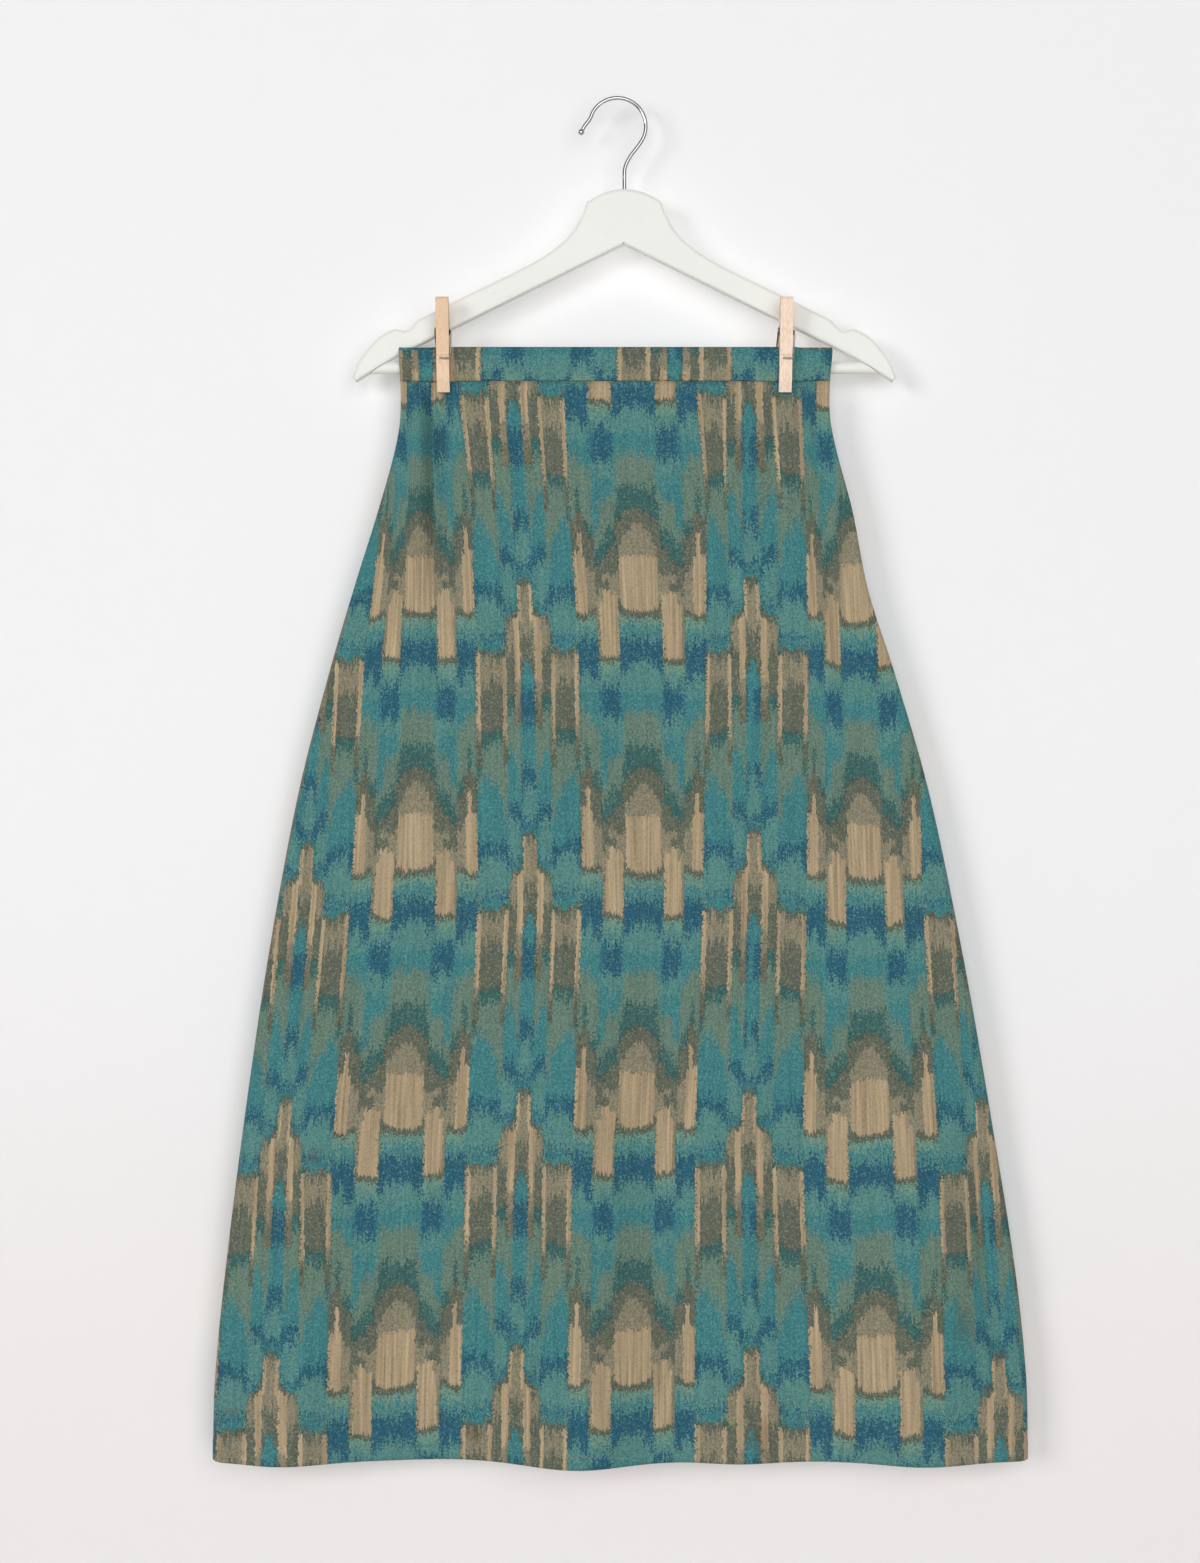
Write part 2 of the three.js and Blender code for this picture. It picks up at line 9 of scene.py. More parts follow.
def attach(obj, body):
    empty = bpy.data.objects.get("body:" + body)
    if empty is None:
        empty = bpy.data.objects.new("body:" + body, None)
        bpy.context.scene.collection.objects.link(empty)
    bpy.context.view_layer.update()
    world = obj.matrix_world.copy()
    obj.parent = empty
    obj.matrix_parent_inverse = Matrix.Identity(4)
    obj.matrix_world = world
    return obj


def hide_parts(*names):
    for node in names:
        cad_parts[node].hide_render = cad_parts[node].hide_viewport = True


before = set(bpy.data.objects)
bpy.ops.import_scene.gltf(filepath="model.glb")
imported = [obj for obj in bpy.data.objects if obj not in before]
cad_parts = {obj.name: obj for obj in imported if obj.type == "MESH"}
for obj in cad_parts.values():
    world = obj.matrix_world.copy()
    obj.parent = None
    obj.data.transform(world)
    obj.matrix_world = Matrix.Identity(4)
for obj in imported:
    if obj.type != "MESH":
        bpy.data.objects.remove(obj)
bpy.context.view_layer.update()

# View. The picture was taken square to the wall from about 1.7 m, at the height of the skirt's middle, so the
# hanger and the hem are seen with hardly any slant.
CAMERA_SPOT = (-0.0138, -1.723, -0.5409)
LENS = 50
SENSOR = 36

camera_data = bpy.data.cameras.new("camera")
camera_data.lens = LENS
camera_data.sensor_fit = "VERTICAL"
camera_data.sensor_height = SENSOR
camera = bpy.data.objects.new("camera", camera_data)
camera.location = CAMERA_SPOT
camera.rotation_euler = (math.radians(90), 0, 0)
bpy.context.collection.objects.link(camera)
bpy.context.scene.camera = camera

# Wall and floor. A plain painted wall close behind the skirt, a little darker towards its foot by painted
# shade. It is clear when seen from behind and to the light behind it, so that the back can be looked at. A
# plain pale floor lies below.
WALL_Y = 0.025
WALL_MIDDLE_Z = -0.4
WALL_SIDE = 2.4
WALL_SHADE_TOP = -0.5
WALL_SHADE_FOOT = -1.15
FLOOR_Y = -2.4
FLOOR_Z = -2.1
FLOOR_SIDE = 3


def add_object(name, sheet, rounded=False):
    """The bmesh as an object at the origin, its faces shaded smooth where the piece is rounded."""
    for patch in sheet.faces:
        patch.smooth = rounded
    mesh = bpy.data.meshes.new(name)
    sheet.to_mesh(mesh)
    sheet.free()
    made = bpy.data.objects.new(name, mesh)
    bpy.context.collection.objects.link(made)
    return made


def new_material(name):
    material = bpy.data.materials.new(name)
    material.use_nodes = True
    material.node_tree.nodes.clear()
    return material


def add_node(tree, kind, links=None, values=None, **settings):
    """One node with its settings, its plain socket values and what feeds it."""
    made = tree.nodes.new(kind)
    for name, value in settings.items():
        setattr(made, name, value)
    for socket, value in (values or {}).items():
        made.inputs[socket].default_value = value
    for socket, source in (links or {}).items():
        tree.links.new(source, made.inputs[socket])
    return made


def colour(red, green, blue):
    """A colour read off a paint or thread card, 0 to 255, as Blender's own linear value."""
    card = [c / 255 for c in (red, green, blue)]
    return tuple(c / 12.92 if c <= 0.04045 else ((c + 0.055) / 1.055) ** 2.4 for c in card) + (1,)


def calculate(tree, operation, first, second=None, third=None):
    """One Math node. Each term is a number or another node's output."""
    made = add_node(tree, "ShaderNodeMath", operation=operation)
    for socket, term in zip(made.inputs, (first, second, third)):
        if isinstance(term, (int, float)):
            socket.default_value = term
        elif term is not None:
            tree.links.new(term, socket)
    return made.outputs[0]


def mix_colours(tree, factor, first, second, blend_type="MIX"):
    """One Mix node. The factor and each colour are plain values or another node's output."""
    made = add_node(tree, "ShaderNodeMix", data_type="RGBA", blend_type=blend_type)
    for socket, term in ((made.inputs[0], factor), (made.inputs[6], first), (made.inputs[7], second)):
        if isinstance(term, bpy.types.NodeSocket):
            tree.links.new(term, socket)
        else:
            socket.default_value = term
    return made.outputs[2]


def new_group(name, takes, gives):
    """A node group and its inputs. Each input and output is named, with its kind of socket."""
    group = bpy.data.node_groups.new(name, "ShaderNodeTree")
    for way, sockets in (("INPUT", takes), ("OUTPUT", gives)):
        for socket, kind in sockets.items():
            group.interface.new_socket(socket, in_out=way, socket_type=f"NodeSocket{kind}")
    return group, add_node(group, "NodeGroupInput").outputs


# Unevenness of a finish, which every material takes with its own values
uneven, given = new_group(
    "unevenness",
    {"Spot": "Vector", "Stretch": "Vector", "Scale": "Float", "Detail": "Float"},
    {"Level": "Float"},
)
stretched = add_node(uneven, "ShaderNodeMapping", {"Vector": given["Spot"], "Scale": given["Stretch"]})
feeds = {"Vector": stretched.outputs[0], "Scale": given["Scale"], "Detail": given["Detail"]}
mottle = add_node(uneven, "ShaderNodeTexNoise", feeds)
add_node(uneven, "NodeGroupOutput", {"Level": mottle.outputs["Fac"]})


def noise_at(tree, scale, detail, stretch=(1, 1, 1)):
    """Unevenness in the object's own space, stretched along an axis where grain runs."""
    spot = add_node(tree, "ShaderNodeTexCoord").outputs["Object"]
    values = {"Stretch": stretch, "Scale": scale, "Detail": detail}
    return add_node(tree, "ShaderNodeGroup", {"Spot": spot}, values, node_tree=uneven).outputs["Level"]


def bump(tree, height, strength, distance, normal=None):
    """The normal of a fine relief, on top of another one where a piece has both."""
    links = {"Height": height} if normal is None else {"Height": height, "Normal": normal}
    made = add_node(tree, "ShaderNodeBump", links, {"Strength": strength, "Distance": distance})
    return made.outputs["Normal"]


def add_surface(tree, links, values):
    """The material's one surface, from what feeds it and its plain values, joined to the output."""
    made = add_node(tree, "ShaderNodeBsdfPrincipled", links, values)
    add_node(tree, "ShaderNodeOutputMaterial", {"Surface": made.outputs[0]})
    return made


wall_mesh = bmesh.new()
bmesh.ops.create_grid(wall_mesh, x_segments=2, y_segments=2, size=WALL_SIDE)
for vert in wall_mesh.verts:
    vert.co = (vert.co.x, WALL_Y, vert.co.y + WALL_MIDDLE_Z)
wall = add_object("wall", wall_mesh)
wall_paint = new_material("wall_paint")
tree = wall_paint.node_tree
dimples = bump(tree, noise_at(tree, scale=90, detail=4), strength=0.05, distance=0.002)
place = add_node(tree, "ShaderNodeTexCoord")
heights = add_node(tree, "ShaderNodeSeparateXYZ", {0: place.outputs["Object"]})
# Painted shade: the wall's colour darkens towards its foot, standing in for the light falling off there
foot_shade = add_node(
    tree,
    "ShaderNodeMapRange",
    {0: heights.outputs[2]},
    {"From Min": WALL_SHADE_TOP, "From Max": WALL_SHADE_FOOT, "To Min": 0, "To Max": 1},
    interpolation_type="SMOOTHSTEP",
)
matt = add_node(
    tree,
    "ShaderNodeBsdfPrincipled",
    {
        "Base Color": mix_colours(tree, foot_shade.outputs[0], colour(241, 240, 241), colour(235, 231, 230)),
        "Normal": dimples,
    },
    {"Roughness": 0.95, "Specular IOR Level": 0.1},
)
clear = add_node(tree, "ShaderNodeBsdfTransparent")
face = add_node(tree, "ShaderNodeNewGeometry")
ray = add_node(tree, "ShaderNodeLightPath")
let_through = calculate(tree, "MAXIMUM", face.outputs["Backfacing"], ray.outputs["Is Shadow Ray"])
sides = add_node(tree, "ShaderNodeMixShader", {0: let_through, 1: matt.outputs[0], 2: clear.outputs[0]})
add_node(tree, "ShaderNodeOutputMaterial", {"Surface": sides.outputs[0]})
wall.data.materials.append(wall_paint)

floor_mesh = bmesh.new()
bmesh.ops.create_grid(floor_mesh, x_segments=2, y_segments=2, size=FLOOR_SIDE)
bmesh.ops.translate(floor_mesh, verts=floor_mesh.verts, vec=(0, FLOOR_Y, FLOOR_Z))
floor = add_object("floor", floor_mesh)
floor_paint = new_material("floor_paint")
tree = floor_paint.node_tree
clouds = noise_at(tree, scale=6, detail=5)
pale = mix_colours(tree, clouds, colour(190, 188, 185), colour(201, 199, 196))
add_surface(tree, {"Base Color": pale}, {"Roughness": 0.8})
floor.data.materials.append(floor_paint)


# Light. One very large soft source round the camera, a smaller one from the left at the hanger's height, pale
# air all round, and one behind the wall for the back. Shadows stay faint and close to what casts them.
LIT_SPOT = (0, 0, -0.6)
AIR_COLOUR = (0.96, 0.98, 1.0, 1)
AIR_STRENGTH = 0.14
# Each light: its name, its spot, its width in metres and its watts
SOFTBOXES = [
    ("window_light", (-3.6, -4.4, 0.3), 2.0, 104),
    ("room_light", (0.8, -4.6, -0.1), 4.2, 154),
    ("back_light", (0.6, 2.2, 0.6), 1.8, 45),
]

for name, spot, size, watts in SOFTBOXES:
    data = bpy.data.lights.new(name, "AREA")
    data.shape = "SQUARE"
    data.size = size
    data.energy = watts
    softbox = bpy.data.objects.new(name, data)
    softbox.location = spot
    aim = np.subtract(LIT_SPOT, spot)
    softbox.rotation_euler = (math.atan2(math.hypot(aim[0], aim[1]), -aim[2]), 0, math.atan2(-aim[0], aim[1]))
    bpy.context.collection.objects.link(softbox)

world = bpy.data.worlds.new("pale_air")
world.use_nodes = True
world.node_tree.nodes["Background"].inputs["Color"].default_value = AIR_COLOUR
world.node_tree.nodes["Background"].inputs["Strength"].default_value = AIR_STRENGTH
bpy.context.scene.world = world
bpy.context.scene.view_settings.view_transform = "Standard"

# Cloth finish. A matt plain-woven cloth whose warp was tied and dyed before weaving, so every band of colour
# ends in ragged threads: domes, bars, candles, book shapes and towers, in navy, teal, sage, olive, khaki and
# sand.
HALF_REPEAT = 0.0906
LONG_REPEAT = 0.203
# The chart's steps across half a repeat and down a whole one, and where the books start across it
CHART_WIDE = 114
CHART_LONG = 257
BOOKS_FROM = 62

THREADS = {
    "navy": colour(42, 91, 110),
    "blue": colour(46, 104, 120),
    "teal": colour(63, 123, 126),
    "mist": colour(84, 131, 126),
    "moor": colour(108, 141, 125),
    "sage": colour(101, 124, 109),
    "deep": colour(60, 97, 93),
    "olive": colour(95, 101, 88),
    "moss": colour(110, 108, 90),
    "khaki": colour(134, 128, 107),
    "sand": colour(167, 148, 119),
}
FRINGE = colour(78, 84, 68)
PALE_FLECK = colour(148, 139, 115)
DARK_FLECK = colour(66, 80, 70)
# A thread is a blue or green one where its blue passes this share of its red, and a sand one past this red
COLD_SHARE = 0.98
SAND_RED = 0.3
# How far the dye wandered along the threads and beside them, in chart steps
JAG_REACH = 13
WANDER_REACH = 7
SPECKLE_REACH = 6
EDGE_BESIDE = 4
SPECKLE_BESIDE = 2.5
BLED_BESIDE = 13
FRINGE_ALONG = 24
FRINGE_BESIDE = 12
FRINGE_STRENGTH = 0.78
# Speckles past this level are flecks
FLECK_LEVEL = 0.13
# One rib of the warp and one of the weft, in metres
WARP_RIB = 0.0009
WEFT_RIB = 0.0008

# Each warp stripe of the chart: where it ends, counted from the middle of a dome to the middle of a tower,
# and its bands of thread going down from the dome's foot
STRIPES = [
    (5, "0 olive 4 moor 13 teal 20 mist 26 navy 50 mist 76 teal 97 sage 130 deep 152 olive 168 khaki"
        " 199 sand 254 olive"),
    (10, "0 olive 4 moor 13 teal 20 mist 26 navy 50 mist 76 teal 97 sage 130 deep 155 olive 173 khaki"
         " 199 sand 254 olive"),
    (14, "0 olive 4 moor 13 teal 20 mist 26 navy 53 mist 76 teal 97 sage 130 deep 158 olive 179 khaki"
         " 199 sand 253 olive"),
    (18, "0 olive 3 moor 13 teal 20 mist 26 navy 58 mist 76 teal 98 sage 130 deep 162 olive 187 khaki"
         " 200 sand 250 olive"),
    (21, "0 olive 2 moor 13 teal 20 mist 26 navy 63 mist 76 teal 104 mist 128 sage 150 deep 168 olive"
         " 214 khaki 243 olive"),
    (28, "0 sand 43 olive 48 moor 57 mist 70 navy 105 mist 121 teal 141 sage 172 deep 190 olive"
         " 218 khaki 236 sand"),
    (35, "0 sand 42 olive 47 moor 58 mist 71 navy 101 mist 121 teal 143 sage 178 deep 200 olive"
         " 215 khaki 222 olive 232 sand"),
    (39, "0 sand 41 olive 47 moor 57 mist 70 navy 103 mist 118 teal 168 sage 186 deep 206 olive"
         " 230 khaki 244 sand"),
    (42, "0 khaki 40 olive 46 moor 57 mist 72 blue 98 mist 112 teal 172 sage 190 deep 205 olive 236 khaki"),
    (47, "0 moor 13 teal 19 mist 26 navy 67 mist 80 teal 112 sage 163 deep 178 olive 212 khaki 249 olive"),
    (50.5, "0 olive 2 moor 13 teal 20 mist 26 navy 66 mist 80 teal 108 sage 160 deep 172 olive"
           " 206 khaki 251 olive"),
    (53, "0 olive 3 moor 14 teal 20 mist 26 navy 55 mist 80 teal 100 sage 158 olive 197 sand 254 olive"),
    (57, "0 olive 3 moor 14 teal 20 mist 26 navy 54 mist 80 teal 98 sage 130 deep 152 olive 174 sand"
         " 255 olive"),
    (62.5, "0 olive 3 moor 14 teal 20 mist 26 navy 60 mist 80 teal 97 sage 161 olive 194 sand 253 olive"),
    (67, "0 mist 23 navy 29 moor 34 deep 39 sand 114 khaki 124 olive 146 deep 160 sage 172 teal"
         " 223 navy 250 mist"),
    (76, "0 mist 22 navy 26 teal 36 olive 43 khaki 70 olive 116 deep 130 sage 160 teal 225 navy 238 mist"),
    (83, "0 mist 21 navy 25 teal 38 olive 46 khaki 66 olive 115 deep 129 sage 172 teal 230 navy 240 mist"),
    (88, "0 mist 20 navy 25 teal 34 olive 43 khaki 72 olive 112 deep 127 sage 182 teal 228 navy 241 mist"),
    (92, "0 mist 19 navy 28 moor 33 deep 39 sand 122 khaki 130 olive 150 sage 205 teal 227 navy 251 mist"),
    (94, "0 mist 10 khaki 30 olive 78 deep 95 sage 134 teal 188 navy 202 mist 243 navy 249 mist"),
    (100.5, "0 olive 6 khaki 34 olive 78 deep 95 sage 134 teal 188 navy 203 mist 243 navy 248 teal"
            " 256 olive"),
    (104, "0 olive 2 sand 64 khaki 84 moss 108 sage 150 teal 190 navy 207 mist 243 navy 247 teal 252 olive"),
    (107, "0 sand 62 khaki 82 moss 108 sage 168 teal 198 navy 212 teal 243 deep 249 olive 255 sand"),
    (110, "0 sand 3 khaki 15 olive 30 khaki 38 olive 55 teal 70 navy 104 teal 149 navy 178 mist"
          " 203 navy 211 teal 215 deep 222 sand"),
    (114, "0 khaki 17 olive 44 teal 74 navy 108 teal 150 navy 166 mist 204 navy 210 teal 217 olive"
          " 225 khaki"),
]
# The same middle strip on towers right of the front's middle dome, where most of the navy ran out
PALE_TOWER = "0 khaki 17 olive 44 teal 166 mist 204 navy 210 teal 217 olive 225 khaki"
PALE_TOWER_MIDDLE = -2.0
PALE_TOWER_HALF = 2.4


def thread_ramp(tree, down, bands):
    """One warp stripe: its bands of thread down the repeat."""
    ramp = add_node(tree, "ShaderNodeValToRGB", {"Fac": down})
    stops = ramp.color_ramp
    stops.interpolation = "CONSTANT"
    words = bands.split()
    starts = [int(word) / CHART_LONG for word in words[0::2]]
    threads = words[1::2]
    stops.elements[0].position = 0
    stops.elements[0].color = THREADS[threads[0]]
    stops.elements[1].position = starts[1]
    stops.elements[1].color = THREADS[threads[1]]
    for start, thread in zip(starts[2:], threads[2:]):
        stops.elements.new(start).color = THREADS[thread]
    return ramp.outputs["Color"]


def grain(tree, across, down, wide, long, seed):
    """Noise in chart steps, wide by long, from about -0.5 to 0.5."""
    place = add_node(
        tree,
        "ShaderNodeCombineXYZ",
        {0: calculate(tree, "DIVIDE", across, wide), 1: calculate(tree, "DIVIDE", down, long)},
        {2: seed},
    )
    noise = add_node(tree, "ShaderNodeTexNoise", {"Vector": place.outputs[0]}, {"Scale": 1.0, "Detail": 1})
    return calculate(tree, "SUBTRACT", noise.outputs["Fac"], 0.5)


def follow(tree, level, at_0, at_1):
    """A number that runs from one value to another as a mask or a noise runs from 0 to 1."""
    return calculate(tree, "MULTIPLY_ADD", level, at_1 - at_0, at_0)


chart_group, given = new_group("warp_chart", {"Across": "Float", "Down": "Float"}, {"Color": "Color"})
wrapped = calculate(chart_group, "FRACT", calculate(chart_group, "DIVIDE", given["Down"], CHART_LONG))
folded = calculate(chart_group, "PINGPONG", given["Across"], CHART_WIDE)
chart = thread_ramp(chart_group, wrapped, STRIPES[0][1])
for before, stripe in zip(STRIPES, STRIPES[1:]):
    beyond = calculate(chart_group, "GREATER_THAN", folded, before[0])
    chart = mix_colours(chart_group, beyond, chart, thread_ramp(chart_group, wrapped, stripe[1]))
tower_side = calculate(chart_group, "FLOORED_MODULO", given["Across"], 2 * CHART_WIDE)
tower_side = calculate(chart_group, "SUBTRACT", tower_side, CHART_WIDE)
on_right = calculate(chart_group, "GREATER_THAN", given["Across"], 0)
in_strip = calculate(chart_group, "COMPARE", tower_side, PALE_TOWER_MIDDLE, PALE_TOWER_HALF)
pale_mask = calculate(chart_group, "MULTIPLY", on_right, in_strip)
chart = mix_colours(chart_group, pale_mask, chart, thread_ramp(chart_group, wrapped, PALE_TOWER))
add_node(chart_group, "NodeGroupOutput", {"Color": chart})


def read_chart(tree, across, down):
    """The chart's colour there, 1 where it is a blue or green thread, and 1 where it is a pale sand one."""
    made = add_node(tree, "ShaderNodeGroup", node_tree=chart_group)
    tree.links.new(across, made.inputs["Across"])
    tree.links.new(down, made.inputs["Down"])
    parts = add_node(tree, "ShaderNodeSeparateColor", {0: made.outputs["Color"]})
    enough_blue = calculate(tree, "MULTIPLY", parts.outputs[0], COLD_SHARE)
    cold = calculate(tree, "GREATER_THAN", parts.outputs[2], enough_blue)
    pale = calculate(tree, "GREATER_THAN", parts.outputs[0], SAND_RED)
    return made.outputs["Color"], cold, pale


warp, given = new_group("dyed_warp", {"Cloth": "Vector"}, {"Color": "Color", "Weave": "Float"})
flat = add_node(warp, "ShaderNodeSeparateXYZ", {0: given["Cloth"]})
across = calculate(warp, "MULTIPLY", flat.outputs[0], CHART_WIDE / HALF_REPEAT)
down = calculate(warp, "MULTIPLY", flat.outputs[1], CHART_LONG / LONG_REPEAT)
jag = grain(warp, across, down, wide=1.6, long=22, seed=3.1)
speckle = grain(warp, across, down, wide=1.8, long=2.0, seed=7.7)
wander = grain(warp, across, down, wide=17, long=40, seed=11.3)
edge = grain(warp, across, down, wide=2.5, long=7, seed=5.9)
ragged = calculate(warp, "MULTIPLY_ADD", jag, JAG_REACH, down)
ragged = calculate(warp, "MULTIPLY_ADD", wander, WANDER_REACH, ragged)
frayed = calculate(warp, "MULTIPLY_ADD", speckle, SPECKLE_REACH, ragged)
beside = calculate(warp, "MULTIPLY_ADD", edge, EDGE_BESIDE, across)
beside = calculate(warp, "MULTIPLY_ADD", speckle, SPECKLE_BESIDE, beside)
chart, cold, pale = read_chart(warp, beside, frayed)
# Blue and green threads bled into each other in the dye, and so did olive and khaki ones in the books, in
# longer streaks, but the tied sand ones and the domes kept their edges
blots = grain(warp, across, down, wide=1.9, long=2.4, seed=19.3)
streaks = grain(warp, across, down, wide=1.7, long=15, seed=41.3)
spread = calculate(warp, "MULTIPLY", blots, follow(warp, cold, at_0=10, at_1=32))
spread = calculate(warp, "MULTIPLY_ADD", streaks, follow(warp, cold, at_0=52, at_1=28), spread)
in_book = calculate(warp, "GREATER_THAN", calculate(warp, "PINGPONG", across, CHART_WIDE), BOOKS_FROM)
reach = calculate(warp, "MAXIMUM", cold, follow(warp, in_book, at_0=0.06, at_1=0.86))
bled = calculate(warp, "MULTIPLY_ADD", spread, reach, ragged)
bled_beside = grain(warp, across, down, wide=1.9, long=2.2, seed=23.9)
bled_beside = calculate(warp, "MULTIPLY", bled_beside, BLED_BESIDE)
bled_beside = calculate(warp, "MULTIPLY_ADD", bled_beside, reach, beside)
soft_chart, soft_cold, soft_pale = read_chart(warp, bled_beside, bled)
both_cold = calculate(warp, "MULTIPLY", cold, soft_cold)
warm = calculate(warp, "SUBTRACT", 1.0, calculate(warp, "MAXIMUM", cold, pale))
soft_warm = calculate(warp, "SUBTRACT", 1.0, calculate(warp, "MAXIMUM", soft_cold, soft_pale))
alike = calculate(warp, "MAXIMUM", both_cold, calculate(warp, "MULTIPLY", warm, soft_warm))
chart = mix_colours(warp, alike, chart, soft_chart)
# Where pale and blue threads meet, the dye left a thin dark ragged fringe
near_down = calculate(warp, "MULTIPLY_ADD", blots, FRINGE_ALONG, frayed)
near_beside = calculate(warp, "MULTIPLY_ADD", speckle, FRINGE_BESIDE, beside)
near_cold = read_chart(warp, near_beside, near_down)[1]
fringe = calculate(warp, "ABSOLUTE", calculate(warp, "SUBTRACT", cold, near_cold))
chart = mix_colours(warp, calculate(warp, "MULTIPLY", fringe, FRINGE_STRENGTH), chart, FRINGE)
# Warp threads of slightly different strength, and the pale and dark flecks that the dye left
streak = grain(warp, across, down, wide=2.4, long=90, seed=1.7)
strength = calculate(warp, "MULTIPLY_ADD", streak, follow(warp, pale, at_0=0.4, at_1=1.15), 1.0)
strength = calculate(warp, "MULTIPLY_ADD", speckle, follow(warp, pale, at_0=1.15, at_1=0.6), strength)
strength_rgb = add_node(warp, "ShaderNodeCombineColor", {0: strength, 1: strength, 2: strength})
chart = mix_colours(warp, 1.0, chart, strength_rgb.outputs[0], "MULTIPLY")
pale_fleck = calculate(warp, "GREATER_THAN", speckle, FLECK_LEVEL)
pale_fleck = calculate(warp, "MULTIPLY", pale_fleck, follow(warp, pale, at_0=0.45, at_1=0.13))
chart = mix_colours(warp, pale_fleck, chart, mix_colours(warp, warm, THREADS["moor"], PALE_FLECK))
dark_fleck = grain(warp, across, down, wide=1.7, long=2.2, seed=29.0)
dark_fleck = calculate(warp, "GREATER_THAN", dark_fleck, FLECK_LEVEL)
dark_fleck = calculate(warp, "MULTIPLY", dark_fleck, follow(warp, pale, at_0=0.44, at_1=0.0))
chart = mix_colours(warp, dark_fleck, chart, mix_colours(warp, warm, THREADS["navy"], DARK_FLECK))
warp_rib = calculate(warp, "SINE", calculate(warp, "MULTIPLY", flat.outputs[0], 2 * math.pi / WARP_RIB))
weft_rib = calculate(warp, "SINE", calculate(warp, "MULTIPLY", flat.outputs[1], 2 * math.pi / WEFT_RIB))
weave = calculate(warp, "MULTIPLY", warp_rib, weft_rib)
add_node(warp, "NodeGroupOutput", {"Color": chart, "Weave": weave})

cloth_finish = new_material("skirt_cloth")
tree = cloth_finish.node_tree
cloth_map = add_node(tree, "ShaderNodeUVMap", uv_map="cloth")
dyed = add_node(tree, "ShaderNodeGroup", node_tree=warp)
tree.links.new(cloth_map.outputs[0], dyed.inputs["Cloth"])
ribs = bump(tree, dyed.outputs["Weave"], strength=0.3, distance=0.0002)
cloth_surface = add_surface(
    tree,
    {"Base Color": dyed.outputs["Color"], "Normal": ribs},
    {"Roughness": 0.88, "Specular IOR Level": 0.18, "Sheen Weight": 0.06, "Sheen Roughness": 0.5},
)

# Front panel. One piece of the cloth cut to an A, with two darts at the waist and a narrow turned hem. It
# hangs from the waistband and bends round into the side seams. Sizes are in millimetres, across from the
# hanger's middle and down from the waistband's top.
HANGER_X = 5.6
BAND_TOP = -198
BAND_DEEP = 26.4
HEM_DOWN = 878
HEM_TURN = 11
GAP = 0.3
CLOTH = 1.1
HEM_CLOTH = 1.9
FRONT_Y = -8.4
BACK_Y = -6.1
LAYER_SPACE = 1.9
FRONT_FLARE = 5
BACK_FLARE = 17
FLARE_CURVE = 1.2
BAR_DOWN = 14.5
BAND_LEAN = 0.083
PEG_ACROSS = (-143.1, 126.9)
FRONT_LEG_TILT = 13
JAW_HALF = 8.4
JAW_SPREAD = 10
JAW_SPREAD_DOWN = 80
JAW_DOWN = 20.5
JAW_FADE = 150
JAW_SLOPE = math.tan(math.radians(FRONT_LEG_TILT))
ZIP_LONG = 190
ZIP_THICK = 1.2
ZIP_EASE = 20
ZIP_PUSH = 1.6
ZIP_PUSH_FROM = 135
ZIP_PUSH_WIDE = 14
ZIP_PUSH_FADE = 60
# The part of the cloth's width that bends round into each side seam
EDGE_SHARE = 0.02
PANEL_ROWS = 215
PANEL_COLUMNS = 200

# The flat outline, from the hanger's middle line: down, left, right
OUTLINE = [
    (0, -178.2, 163.9),
    (26, -177.2, 162.2),
    (55, -177.2, 162.3),
    (81, -181.4, 167.3),
    (129, -194.8, 180),
    (192, -214.5, 192.5),
    (255, -233, 213),
    (350, -257.5, 240.5),
    (476, -281, 267),
    (603, -300, 289.5),
    (729, -316, 309.5),
    (816, -324.5, 318.5),
    (878, -325.9, 319.5),
]
# Soft folds, each with its start across and down, its end across and down, the share of its length where it
# is deepest, the push back there, and its width at each end
FRONT_FOLDS = [
    (-154, 18, -141, 270, 0.24, 4.6, 11, 16),
    (-171, 24, -174, 230, 0.3, -2.6, 11, 18),
    (143.5, 22, 150, 215, 0.35, 2.6, 6, 11),
    (268, 520, 300, 860, 0.55, 7, 10, 14),
    (-228, 330, -269, 890, 0.99, -15, 34, 42),
    (-112, 260, -140, 890, 0.99, 6, 36, 48),
    (-34, 200, -37, 890, 0.99, -24, 44, 50),
    (72, 300, 91, 890, 0.99, -8, 30, 34),
    (190, 300, 236, 890, 0.99, -16, 38, 46),
]
